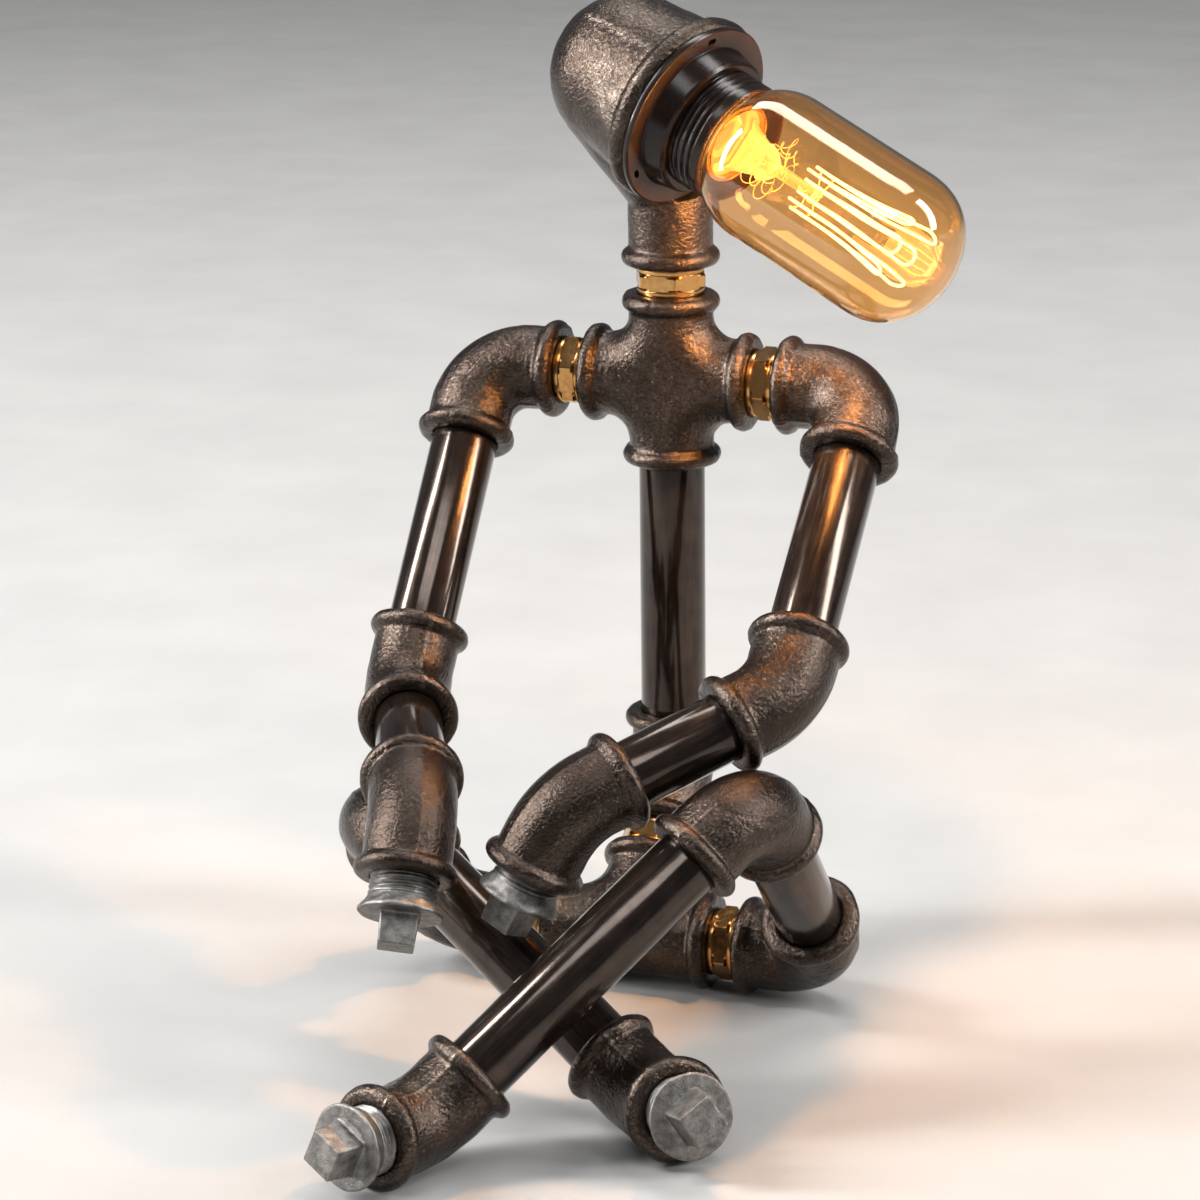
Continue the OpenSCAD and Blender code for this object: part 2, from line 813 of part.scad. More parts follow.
// Profile points of a rolled screw thread: a wave of the given radius and depth
function wave(outer_r, depth, from, to, pitch, step = 0.3) =
    [for (z = [from : step : to]) [outer_r - depth / 2 + depth / 2 * cos(360 * z / pitch), z]];

module screw_shell() {
    top = glass_start - 1;
    inside_r = cap_r + cap_clearance;
    outer = wave(inside_r + sheet, screw_depth, screw_floor + 1, top, cap_pitch);
    inner = wave(inside_r, screw_depth, screw_floor + 1, top, cap_pitch);
    last = len(inner) - 1;
    floor_r = inner[0][0] - 2;
    color(brass) on_bulb_axis() rotate_extrude() polygon(concat(
        [[floor_r, screw_floor], [flange_r, screw_floor], [flange_r, screw_floor + sheet],
         [outer[0][0], screw_floor + sheet]],
        outer, [for (i = [last : -1 : 0]) inner[i]],
        [[inner[0][0], screw_floor + sheet], [floor_r, screw_floor + sheet]]));
}

// Spring blade that presses on the middle of the bulb's cap
module centre_contact() {
    blade_w = 5;
    foot = -7;
    heel = -2.4;
    tip = 3.6;
    rise = cap_foot - screw_floor - sheet;
    color(brass) on_bulb_axis(screw_floor) translate([0, -blade_w / 2, 0]) {
        translate([foot, 0, 0]) cube([heel + sheet - foot, blade_w, sheet]);
        translate([heel, 0, 0]) cube([sheet, blade_w, rise + sheet]);
        translate([heel, 0, rise]) cube([tip - heel, blade_w, sheet]);
    }
}

module terminal_screws() {
    head_r = 3;
    head_h = 2;
    slot_w = 0.8;
    color(brass) on_bulb_axis(shell_rear) for (side = [left, right])
        translate([side * terminal_offset, 0, 0]) difference() {
            union() {
                cylinder(r = terminal_r, h = terminal_len);
                translate([0, 0, -head_h]) cylinder(r = head_r, h = head_h);
            }
            translate([-head_r - 1, -slot_w / 2, -1.5 * head_h]) cube([2 * head_r + 2, slot_w, head_h]);
        }
}

function bezier(p, t) =
    pow(1 - t, 3) * p[0] + 3 * pow(1 - t, 2) * t * p[1] + 3 * (1 - t) * t * t * p[2] + pow(t, 3) * p[3];
function bezier_way(p, t) =
    3 * pow(1 - t, 2) * (p[1] - p[0]) + 6 * (1 - t) * t * (p[2] - p[1]) + 3 * t * t * (p[3] - p[2]);

// Lead from the neck nipple, round the back of the hollow and up to the rear of the lampholder's base
module head_lead() {
    lead_rings = 20;
    lead_sides = 8;
    straight = thread_len + 1;
    lead_rise = 52.5;
    lead_back = 51;
    axis = [cos(bulb_droop), 0, -sin(bulb_droop)];
    joint = [0, 0, nipple_gap / 2 - turning_gap];
    start = [0, 0, straight];
    end = [0, -head_ahead, head_rise] + (shell_rear - fit_clearance) * axis;
    route = [start, start + [0, 0, lead_rise], end - lead_back * axis, end];
    rings = [for (i = [-1 : lead_rings]) let (
        t = max(i, 0) / lead_rings, at = i < 0 ? joint : bezier(route, t), way = bezier_way(route, t),
        out = cross([0, 1, 0], way) / norm(cross([0, 1, 0], way)),
        side = cross(way, out) / norm(way))
        for (k = [0 : lead_sides - 1]) let (a = 360 * k / lead_sides)
            at + head_lead_r * (cos(a) * out + sin(a) * side)];
    walls = [for (i = [0 : lead_rings], k = [0 : lead_sides - 1]) let (
        a = i * lead_sides + k, b = i * lead_sides + (k + 1) % lead_sides)
        [a, a + lead_sides, b + lead_sides, b]];
    ends = [[for (k = [0 : lead_sides - 1]) k],
            [for (k = [lead_sides - 1 : -1 : 0]) (lead_rings + 1) * lead_sides + k]];
    color(rubber) on_neck() rotate([0, 0, -bulb_turn]) polyhedron(rings, concat(walls, ends));
}

// ---------------------------------------------------------------- bulb

// Outer radius of the glass at a distance along the bulb's axis
function glass_r(z) =
    z < swell_start ? glass_neck_r :
    z < swell_end ? glass_neck_r + (bulb_r - glass_neck_r)
        * pow(sin(90 * (z - swell_start) / (swell_end - swell_start)), swell_power) :
    z < dome_start ? bulb_r :
    bulb_r * pow(max(0, 1 - pow((z - dome_start) / bulb_dome, dome_power)), 1 / dome_power);

// Distances along the axis at which the glass outline has its points
glass_stations = concat(
    [glass_start, swell_start],
    [for (i = [1 : 9]) swell_start + (swell_end - swell_start) * pow(i / 9, 2)],
    [for (i = [0 : 12]) dome_start + bulb_dome * sin(90 * i / 12)]);

module bulb_glass() {
    outside = [for (z = glass_stations) [glass_r(z), z]];
    inside = [for (z = glass_stations) [max(0, glass_r(z) - glass_wall), z]];
    last = len(glass_stations) - 1;
    color(amber) on_bulb_axis() rotate_extrude() polygon(concat(
        outside,
        [[0, bulb_tip - glass_wall]],
        [for (i = [last - 1 : -1 : 0])
            [inside[i][0], min(inside[i][1], bulb_tip - glass_wall - overlap * (last - i))]]));
}

module bulb_cap() {
    outer = wave(cap_r, screw_depth, cap_start, glass_start - 0.4, cap_pitch);
    last = len(outer) - 1;
    inside_r = cap_r - cap_wall;
    color(brass) on_bulb_axis() rotate_extrude() polygon(concat(
        outer,
        [[cap_r, glass_start], [cap_r, cap_end], [inside_r, cap_end], [inside_r, glass_start]],
        [for (i = [last : -1 : 0]) [outer[i][0] - cap_wall, outer[i][1]]]));
}

module bulb_cap_insulator() {
    rim = wave(cap_r, screw_depth, cap_start, cap_start, cap_pitch)[0][0];
    core = cap_r - screw_depth - cap_wall - fit_clearance;
    bottom = cap_foot + contact_t + fit_clearance;
    top = cap_start - fit_clearance;
    spigot = 0.8;
    color(bakelite) on_bulb_axis() difference() {
        rotate_extrude() polygon([[0, bottom], [4.5, bottom], [rim, top], [core, top],
            [core, top + spigot], [0, top + spigot]]);
        translate([0, 0, cap_foot]) cylinder(r = 1.5, h = 10);
    }
}

module bulb_foot_contact() {
    color(brass) on_bulb_axis(cap_foot) {
        cylinder(r1 = 3.6, r2 = 4.4, h = contact_t);
        cylinder(r = 1.4, h = contact_t + 2);
    }
}

// Glass stem: a flare fused to the neck, pinched to a solid rod with a button at its end
module bulb_stem() {
    flare_r = glass_neck_r - glass_wall - fit_clearance;
    throat = glass_start + 7;
    rod_r = 2;
    color(amber) on_bulb_axis() {
        rotate_extrude() polygon([
            [flare_r - 1, glass_start], [flare_r, glass_start], [flare_r, glass_start + 1],
            [7.5, throat], [4.2, stem_pinch], [rod_r, stem_pinch + 3], [rod_r, rod_end], [0, rod_end],
            [0, stem_pinch - 3], [3, stem_pinch - 4], [6.3, throat]
        ]);
        translate([0, 0, rod_end]) cylinder(r = button_r, h = button_t);
    }
}

// Straight round wire between two points
module wire(from, to, r) {
    way = to - from;
    length = norm(way);
    translate(from) rotate([0, acos(way[2] / length), atan2(way[1], way[0])]) cylinder(r = r, h = length);
}

// Angle round the axis of a filament strand: two strands to a loop
function strand_angle(i) =
    floor(i / 2) * 360 / filament_loops + (i % 2) * loop_fill * 180 / filament_loops;
function round_axis(r, a, z) = [r * cos(a), r * sin(a), z];

// Hairpin loops of filament that run out from the stem towards the tip, and back
module filament() {
    bend_start = loop_end - 3;
    color(tungsten) on_bulb_axis() for (i = [0 : filament_loops - 1]) {
        a = strand_angle(2 * i);
        b = strand_angle(2 * i + 1);
        far_a = round_axis(loop_out_r, a, bend_start);
        far_b = round_axis(loop_out_r, b, bend_start);
        peak = round_axis(loop_out_r * 0.9, (a + b) / 2, loop_end);
        wire(round_axis(loop_in_r, a, loop_start), far_a, filament_r);
        wire(round_axis(loop_in_r, b, loop_start), far_b, filament_r);
        wire(far_a, peak, filament_r);
        wire(peak, far_b, filament_r);
        for (p = [far_a, far_b, peak])
            translate(p) sphere(r = filament_r * 1.2);
    }
}

// Anchor wires that stand out from the button to the inner end of every strand
module filament_supports() {
    wire_r = 0.25;
    level = rod_end + button_t + wire_r;
    start_r = button_r - 0.5;
    color(steel) on_bulb_axis() {
        for (i = [0 : 2 * filament_loops - 1]) {
            a = strand_angle(i);
            wire(round_axis(start_r, a, level), round_axis(loop_in_r - filament_r, a, level), wire_r);
        }
        translate([0, 0, rod_end + button_t]) cylinder(r = button_r, h = 2 * wire_r);
    }
}

// ---------------------------------------------------------------- nodes

hip_tee();
waist_nipple();
waist_elbow();
cable_grommet();
torso_pipe();
chest_cross();
neck_nipple();
trunk_lead();
shoulder_nipple(left);  // left_shoulder_nipple
shoulder_elbow(left);  // left_shoulder_elbow
upper_arm_pipe(left);  // left_upper_arm_pipe
arm_elbow(left);  // left_arm_elbow
forearm_pipe(left);  // left_forearm_pipe
wrist_elbow(left);  // left_wrist_elbow
hand_plug(left);  // left_hand_plug
shoulder_nipple(right);  // right_shoulder_nipple
shoulder_elbow(right);  // right_shoulder_elbow
upper_arm_pipe(right);  // right_upper_arm_pipe
arm_elbow(right);  // right_arm_elbow
forearm_pipe(right);  // right_forearm_pipe
wrist_elbow(right);  // right_wrist_elbow
hand_plug(right);  // right_hand_plug
hip_nipple(left);  // left_hip_nipple
hip_elbow(left);  // left_hip_elbow
thigh_pipe(left);  // left_thigh_pipe
knee_elbow(left);  // left_knee_elbow
shin_pipe(left);  // left_shin_pipe
foot_elbow(left);  // left_foot_elbow
foot_plug(left);  // left_foot_plug
hip_nipple(right);  // right_hip_nipple
hip_elbow(right);  // right_hip_elbow
thigh_pipe(right);  // right_thigh_pipe
knee_elbow(right);  // right_knee_elbow
shin_pipe(right);  // right_shin_pipe
foot_elbow(right);  // right_foot_elbow
foot_plug(right);  // right_foot_plug
head_casting();
shade_ring();
lampholder_shell();
lampholder_base();
screw_shell();
centre_contact();
terminal_screws();
head_lead();
bulb_glass();
bulb_cap();
bulb_cap_insulator();
bulb_foot_contact();
bulb_stem();
filament();
filament_supports();
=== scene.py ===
"""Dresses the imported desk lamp: cast fittings, pipes, nipples, plugs, lampholder and bulb."""
import bpy
import bmesh
import json
import math
import numpy as np
from mathutils import Matrix, Vector


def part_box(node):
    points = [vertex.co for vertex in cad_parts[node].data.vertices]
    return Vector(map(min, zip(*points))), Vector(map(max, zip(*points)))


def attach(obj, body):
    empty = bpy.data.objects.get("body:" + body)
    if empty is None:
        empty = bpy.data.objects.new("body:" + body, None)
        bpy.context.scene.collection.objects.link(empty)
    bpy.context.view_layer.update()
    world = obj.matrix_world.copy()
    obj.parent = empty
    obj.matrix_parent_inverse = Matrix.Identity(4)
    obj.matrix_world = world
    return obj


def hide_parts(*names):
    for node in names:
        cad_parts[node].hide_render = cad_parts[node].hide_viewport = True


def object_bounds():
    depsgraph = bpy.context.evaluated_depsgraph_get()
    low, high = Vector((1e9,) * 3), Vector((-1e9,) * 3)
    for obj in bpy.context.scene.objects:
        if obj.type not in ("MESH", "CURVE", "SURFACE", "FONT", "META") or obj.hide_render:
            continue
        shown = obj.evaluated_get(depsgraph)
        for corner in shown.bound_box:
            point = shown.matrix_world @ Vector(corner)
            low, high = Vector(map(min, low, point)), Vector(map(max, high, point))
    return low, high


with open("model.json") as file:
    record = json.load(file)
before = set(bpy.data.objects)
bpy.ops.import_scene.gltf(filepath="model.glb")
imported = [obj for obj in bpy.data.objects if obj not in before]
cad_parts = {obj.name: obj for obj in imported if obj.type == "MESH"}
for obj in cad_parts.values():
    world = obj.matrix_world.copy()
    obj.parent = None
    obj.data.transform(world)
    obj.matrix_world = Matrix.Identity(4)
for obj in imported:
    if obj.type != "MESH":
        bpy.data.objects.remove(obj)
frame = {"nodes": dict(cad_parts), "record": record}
nodes = frame["nodes"]
cad_box = [list(v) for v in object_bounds()]

MM = 0.001
LEFT, RIGHT = -1, 1
SIDES = {LEFT: "left", RIGHT: "right"}

# ---------------------------------------------------------------- sizes in mm, as in the part's source

HIP_X, HIP_Y = -13.595, 71.201
BODY_R, BEAD_R = 13.6, 15.9
SQUARE_LEG, HALF_LEG, THREAD_LEN = 28.0, 22.0, 13.0
PIPE_R, PIPE_BORE_R, THREAD_R = 10.65, 8.05, 10.45
TURN_GAP, NIPPLE_GAP = 0.1, 9.0
TURNING_GAP = NIPPLE_GAP + TURN_GAP
TORSO_LEN, UPPER_ARM_LEN, FOREARM_LEN, SHIN_LEN = 84.0, 65.0, 34.0, 88.0
THIGH_LEN = {LEFT: 29.0, RIGHT: 53.5}
ARM_SWING = {LEFT: 39.0, RIGHT: 49.4}
ELBOW_TURN = {LEFT: 56.1, RIGHT: -15.5}
WRIST_TURN = {LEFT: 187.4, RIGHT: 121.0}
THIGH_LIFT = {LEFT: 41.755, RIGHT: 45.975}
KNEE_TURN = {LEFT: -36.1, RIGHT: 57.1}
FOOT_TURN = {LEFT: -188.5, RIGHT: -181.1}
HAND_THREAD = {LEFT: 6.0, RIGHT: 3.6}
HAND_HEAD_TURN = {LEFT: 8.0, RIGHT: -21.0}
FOOT_THREAD = 4.8
NIPPLE_HEX, NIPPLE_HEX_W, NIPPLE_COLLAR_R, NIPPLE_BORE_R = 21.0, 5.0, 10.8, 7.5
PIPE_PITCH = 1.814
PLUG_COLLAR_R, PLUG_COLLAR_LEN, PLUG_HEAD_W, PLUG_TIP_W, PLUG_HEAD_LEN = 12.9, 5.0, 11.9, 11.0, 9.8
HEAD_RISE, HEAD_AHEAD, BULB_TURN, BULB_DROOP = 60.1, 12.8, 22.2, 21.6
HEAD_LINE_AHEAD = 40
NECK_NIPPLE_TURN = -5
SHOULDER_NIPPLE_TURN = {LEFT: 8, RIGHT: -29}
HEAD_FACE, RING_R, RING_T, RING_HUB_R, RING_HUB_LEN = 21.7, 30.2, 2.0, 24.0, 7.8
RING_HOLE_R, SLOT_HALF = 0.9, 0.8
SHELL_R, SHELL_IN_R, SHELL_MOUTH, SHELL_REAR, SHELL_PITCH, BASE_T = 19.8, 18.0, 43.3, 3.5, 2.5, 9.0
BULB_R, BULB_TIP, BULB_DOME, GLASS_WALL = 24.4, 125.9, 21.7, 0.8
GLASS_NECK_R = 12.7
GLASS_START, SWELL_START, SWELL_END = 38.7, 42.1, 57.8
STEM_PINCH, ROD_END, ROD_R = 55.8, 73.6, 2.0
LOOPS, LOOP_IN_R, LOOP_OUT_R, LOOP_START, LOOP_END = 6, 7.5, 10.0, 74.6, 116.9

WAIST_REACH = SQUARE_LEG + NIPPLE_GAP + HALF_LEG
LEAN = math.sin(math.radians(45))
CHEST_Z = BEAD_R + WAIST_REACH * LEAN + HALF_LEG + TORSO_LEN + SQUARE_LEG
RING_FRONT = RING_T + RING_HUB_LEN


# ---------------------------------------------------------------- places, the same chain as in the source

def move(x=0, y=0, z=0):
    return Matrix.Translation((x, y, z))


def turn(axis, degrees):
    return Matrix.Rotation(math.radians(degrees), 4, axis)


def limb(side, swing):
    """Z points out to the side and X hangs down, swung to the front by degrees."""
    flip = turn("Z", 180 if side == LEFT else 0)
    return turn("X", -swing) @ flip @ turn("Y", 90)


HIPS = move(HIP_X, HIP_Y, BEAD_R)
BRANCH = HIPS @ turn("X", -45)
WAIST = BRANCH @ move(z=WAIST_REACH) @ turn("Z", -90)
CHEST = move(HIP_X, HIP_Y + WAIST_REACH * LEAN, CHEST_Z)
NECK = CHEST @ move(z=SQUARE_LEG + TURNING_GAP)
BULB = NECK @ turn("Z", -BULB_TURN) @ move(0, -HEAD_AHEAD, HEAD_RISE) @ turn("Y", 90 + BULB_DROOP)
TORSO = CHEST @ move(z=-SQUARE_LEG - TORSO_LEN)

PLACE = {}
for side in (LEFT, RIGHT):
    arm = CHEST @ limb(side, ARM_SWING[side]) @ move(z=SQUARE_LEG)
    shoulder = arm @ move(z=TURNING_GAP + SQUARE_LEG)
    upper_arm = shoulder @ turn("Y", 90) @ move(z=SQUARE_LEG)
    elbow = upper_arm @ move(z=UPPER_ARM_LEN + TURN_GAP + HALF_LEG) @ turn("Z", ELBOW_TURN[side])
    forearm = elbow @ turn("Y", 45) @ move(z=HALF_LEG)
    wrist = forearm @ move(z=FOREARM_LEN + HALF_LEG) @ turn("Z", WRIST_TURN[side])
    hand = wrist @ turn("Y", 45) @ move(z=HALF_LEG)
    leg = HIPS @ limb(side, 90 + THIGH_LIFT[side]) @ move(z=SQUARE_LEG)
    hip = leg @ move(z=NIPPLE_GAP + SQUARE_LEG)
    thigh = hip @ turn("Y", 90) @ move(z=SQUARE_LEG)
    knee = thigh @ move(z=THIGH_LEN[side] + SQUARE_LEG) @ turn("Z", KNEE_TURN[side])
    shin = knee @ turn("Y", 90) @ move(z=SQUARE_LEG)
    foot = shin @ move(z=SHIN_LEN + HALF_LEG) @ turn("Z", FOOT_TURN[side])
    toe = foot @ turn("Y", 45) @ move(z=HALF_LEG)
    PLACE[side] = dict(arm=arm, shoulder=shoulder, upper_arm=upper_arm, elbow=elbow, forearm=forearm,
                       wrist=wrist, hand=hand, leg=leg, hip=hip, thigh=thigh, knee=knee, shin=shin,
                       foot=foot, toe=toe)

BODIES = frame["record"]["behaviour"]["bodies"]
BODY_OF = {node: body for body, members in BODIES.items() for node in members}


# ---------------------------------------------------------------- camera

def photo_camera():
    az, el, roll = (math.radians(a) for a in (19.79, 16.59, -0.70))
    distance, aim_aside, aim_behind_hips, aim_height = 1332.37, -19.94, 30, 120.16
    lens_px, frame_px = 4104.74, 1200
    target = Vector((HIP_X + aim_aside * math.cos(az), HIP_Y + aim_behind_hips + aim_aside * math.sin(az),
                     aim_height))
    back = Vector((math.sin(az) * math.cos(el), -math.cos(az) * math.cos(el), math.sin(el)))
    side = Vector((math.cos(az), math.sin(az), 0))
    up = back.cross(side)
    rolled_side = side * math.cos(roll) + up * math.sin(roll)
    rolled_up = up * math.cos(roll) - side * math.sin(roll)
    data = bpy.data.cameras.new("photo_camera")
    data.sensor_width = 36
    data.lens = lens_px / frame_px * data.sensor_width
    data.clip_start = 0.05
    data.clip_end = 20
    cam = bpy.data.objects.new("photo_camera", data)
    cam.matrix_world = Matrix.Translation((target + back * distance) * MM) @ Matrix(
        (rolled_side, rolled_up, back)).transposed().to_4x4()
    bpy.context.scene.collection.objects.link(cam)
    bpy.context.scene.camera = cam
    return cam


photo_camera()
bpy.context.view_layer.update()


# ---------------------------------------------------------------- materials

class Surface:
    """A node material: object coordinates in mm, with short calls for noise, ramps and bumps."""

    def __init__(self, name):
        self.mat = bpy.data.materials.new(name)
        self.mat.use_nodes = True
        self.tree = self.mat.node_tree
        self.bsdf = self.tree.nodes["Principled BSDF"]
        coords = self.add("ShaderNodeTexCoord")
        self.object = self.scaled(coords.outputs["Object"], (1000, 1000, 1000))
        self.uv = self.scaled(coords.outputs["UV"], (1000, 1000, 1000))

    def add(self, kind, **settings):
        node = self.tree.nodes.new(kind)
        for key, value in settings.items():
            setattr(node, key, value)
        return node

    def feed(self, socket, value):
        if isinstance(value, bpy.types.NodeSocket):
            self.tree.links.new(value, socket)
        else:
            socket.default_value = value

    def scaled(self, vector, scale):
        node = self.add("ShaderNodeMapping")
        self.feed(node.inputs["Vector"], vector)
        node.inputs["Scale"].default_value = scale
        return node.outputs["Vector"]

    def noise(self, size, detail=2.0, rough=0.5, at=None, offset=0.0):
        node = self.add("ShaderNodeTexNoise", noise_dimensions="4D")
        self.feed(node.inputs["Vector"], at or self.object)
        node.inputs["W"].default_value = offset
        node.inputs["Scale"].default_value = 1 / size
        node.inputs["Detail"].default_value = detail
        node.inputs["Roughness"].default_value = rough
        return node.outputs["Fac"]

    def grains(self, size, smooth=1.0):
        node = self.add("ShaderNodeTexVoronoi", feature="SMOOTH_F1")
        self.feed(node.inputs["Vector"], self.object)
        node.inputs["Scale"].default_value = 1 / size
        node.inputs["Smoothness"].default_value = smooth
        return node.outputs["Distance"]

    def math(self, operation, a, b=0.0):
        node = self.add("ShaderNodeMath", operation=operation)
        self.feed(node.inputs[0], a)
        self.feed(node.inputs[1], b)
        return node.outputs[0]

    def span(self, value, low, high, to_low=0.0, to_high=1.0):
        node = self.add("ShaderNodeMapRange")
        self.feed(node.inputs["Value"], value)
        for name, number in zip(("From Min", "From Max", "To Min", "To Max"), (low, high, to_low, to_high)):
            node.inputs[name].default_value = number
        return node.outputs["Result"]

    def mix(self, factor, a, b):
        node = self.add("ShaderNodeMix", data_type="RGBA")
        self.feed(node.inputs[0], factor)
        self.feed(node.inputs[6], a if isinstance(a, bpy.types.NodeSocket) else (*a, 1))
        self.feed(node.inputs[7], b if isinstance(b, bpy.types.NodeSocket) else (*b, 1))
        return node.outputs[2]

    def attribute(self, name):
        return self.add("ShaderNodeAttribute", attribute_name=name).outputs["Fac"]

    def bump(self, height, depth_mm, strength=1.0, below=None):
        node = self.add("ShaderNodeBump")
        node.inputs["Strength"].default_value = strength
        node.inputs["Distance"].default_value = depth_mm * MM
        self.feed(node.inputs["Height"], height)
        if below is not None:
            self.feed(node.inputs["Normal"], below)
        return node.outputs["Normal"]

    def finish(self, **inputs):
        for key, value in inputs.items():
            socket = self.bsdf.inputs[key.replace("_", " ")]
            if isinstance(value, tuple) and len(value) == 3:
                value = (*value, 1)
            self.feed(socket, value)
        return self.mat


def cast_iron():
    s = Surface("lacquered_cast_iron")
    pebble = s.grains(1.3, 0.7)
    grain = s.noise(1.0, 3, 0.6, offset=1)
    fine = s.noise(0.38, 3, 0.65)
    swell = s.noise(3, 3, 0.5)
    stain = s.span(s.noise(9, 4, 0.6, offset=3), 0.35, 0.68)
    worn = s.span(s.math("ADD", fine, s.math("MULTIPLY", s.attribute("proud"), 0.6)), 0.55, 0.95)
    colour = s.mix(stain, (0.042, 0.030, 0.024), (0.076, 0.058, 0.047))
    colour = s.mix(s.span(grain, 0.38, 0.5, 0.5, 0), colour, (0.012, 0.008, 0.006))
    colour = s.mix(s.span(grain, 0.56, 0.72, 0, 0.3), colour, (0.30, 0.26, 0.225))
    colour = s.mix(s.math("MULTIPLY", worn, 0.4), colour, (0.23, 0.19, 0.16))
    # Painted shade: inside the leg bores (the "hollow" mark) the iron is darkened.
    colour = s.mix(s.math("MULTIPLY", s.attribute("hollow"), 0.75), colour, (0.035, 0.025, 0.02))
    rough = s.span(s.noise(2.2, 3, 0.6, offset=7), 0.3, 0.7, 0.17, 0.28)
    normal = s.bump(swell, 0.12, 0.35)
    normal = s.bump(pebble, 0.22, 0.5, below=normal)
    normal = s.bump(grain, 0.5, 0.8, below=normal)
    normal = s.bump(fine, 0.07, 0.6, below=normal)
    return s.finish(Base_Color=colour, Metallic=0.9, Roughness=rough, Normal=normal)


def dark_pipe():
    s = Surface("lacquered_steel_pipe")
    streak = s.noise(1.0, 4, 0.55, at=s.scaled(s.uv, (1.1, 0.06, 1)))
    patch = s.span(s.noise(7, 4, 0.55), 0.35, 0.65)
    speck = s.span(s.noise(0.8, 2, 0.5, offset=5), 0.68, 0.8)
    colour = s.mix(patch, (0.022, 0.015, 0.012), (0.044, 0.031, 0.024))
    colour = s.mix(s.math("MULTIPLY", s.span(streak, 0.45, 0.75), 0.35), colour, (0.11, 0.08, 0.062))
    colour = s.mix(s.math("MULTIPLY", speck, 0.5), colour, (0.010, 0.007, 0.006))
    rough = s.math("ADD", s.span(streak, 0.3, 0.7, 0.13, 0.22), s.span(speck, 0, 1, 0, 0.1))
    normal = s.bump(streak, 0.03, 0.5)
    normal = s.bump(s.noise(2.6, 3, 0.5, offset=2), 0.08, 0.35, below=normal)
    return s.finish(Base_Color=colour, Metallic=0.85, Roughness=rough, Normal=normal, Coat_Weight=0.4,
                    Coat_Roughness=0.1)


def galvanised():
    s = Surface("galvanised_cast_plug")
    spangle = s.grains(2.2, 0.4)
    fine = s.noise(0.55, 4, 0.65)
    thread = s.attribute("machined")
    colour = s.mix(s.span(s.noise(3, 4, 0.6), 0.35, 0.65), (0.115, 0.11, 0.105), (0.25, 0.245, 0.235))
    colour = s.mix(s.math("MULTIPLY", s.span(fine, 0.55, 0.72), 0.6), colour, (0.06, 0.057, 0.053))
    # Painted shade: darker where the "hollow" mark is set; the plugs set it to zero.
    colour = s.mix(s.math("MULTIPLY", s.attribute("hollow"), 0.7), colour, (0.04, 0.037, 0.034))
    rough = s.span(fine, 0.3, 0.7, 0.3, 0.52)
    cast = s.math("SUBTRACT", 1.0, s.math("MULTIPLY", thread, 0.85))
    normal = s.bump(s.math("MULTIPLY", spangle, cast), 0.25, 0.5)
    normal = s.bump(s.math("MULTIPLY", fine, cast), 0.28, 0.8, below=normal)
    return s.finish(Base_Color=colour, Metallic=0.9, Roughness=rough, Normal=normal)


def polished_brass(name, tint, rough_low, rough_high):
    s = Surface(name)
    smudge = s.noise(2.5, 4, 0.6)
    turned = s.noise(0.5, 2, 0.5, at=s.scaled(s.uv, (0.05, 2.2, 1)))
    dark = tuple(c * 0.72 for c in tint)
    colour = s.mix(s.span(smudge, 0.35, 0.7), tint, dark)
    # Painted shade: darker where the "hollow" mark is set.
    colour = s.mix(s.math("MULTIPLY", s.attribute("hollow"), 0.6), colour, tuple(c * 0.3 for c in tint))
    rough = s.span(smudge, 0.3, 0.7, rough_low, rough_high)
    normal = s.bump(turned, 0.02, 0.5)
    return s.finish(Base_Color=colour, Metallic=1.0, Roughness=rough, Normal=normal)


def moulded(name, dark, light, rough_low, rough_high, coat=0.3, gloss=0.5):
    s = Surface(name)
    cloud = s.noise(5, 4, 0.6)
    fine = s.noise(0.6, 3, 0.6, offset=4)
    colour = s.mix(s.span(cloud, 0.35, 0.65), dark, light)
    rough = s.span(fine, 0.3, 0.7, rough_low, rough_high)
    normal = s.bump(cloud, 0.05, 0.4)
    normal = s.bump(fine, 0.03, 0.5, below=normal)
    return s.finish(Base_Color=colour, Roughness=rough, Normal=normal, Coat_Weight=coat, Coat_Roughness=0.08,
                    Specular_IOR_Level=gloss)


# glow gives the glass an emission of its own: painted light, since the glass is no lamp.
def glass(name, tint, glow=0.0, glow_colour=(1.0, 0.6, 0.15), rough=0.015):
    s = Surface(name)
    ripple = s.noise(14, 2, 0.5)
    colour = s.mix(s.span(ripple, 0.4, 0.6), tint, tuple(c * 0.97 for c in tint))
    return s.finish(Base_Color=colour, Roughness=rough, IOR=1.47, Transmission_Weight=1.0,
                    Normal=s.bump(ripple, 0.03, 0.2), Emission_Color=glow_colour, Emission_Strength=glow)


def glowing_wire():
    s = Surface("glowing_filament")
    hot = s.span(s.noise(6, 2, 0.5), 0.3, 0.7)
    colour = s.mix(hot, (1.0, 0.56, 0.16), (1.0, 0.68, 0.28))
    return s.finish(Base_Color=(0.5, 0.35, 0.2), Roughness=0.5, Emission_Color=colour, Emission_Strength=7.0)


def painted_glow_wire():
    s = Surface("support_wire_painted_glow")
    hot = s.span(s.noise(3, 2, 0.5), 0.3, 0.7)
    colour = s.mix(hot, (0.55, 0.38, 0.20), (0.75, 0.55, 0.32))
    # Painted light: an orange emission on the support wires stands in for the filament's light falling on
    # them.
    return s.finish(Base_Color=colour, Metallic=1.0, Roughness=0.3, Emission_Color=(1.0, 0.52, 0.12),
                    Emission_Strength=1.1)


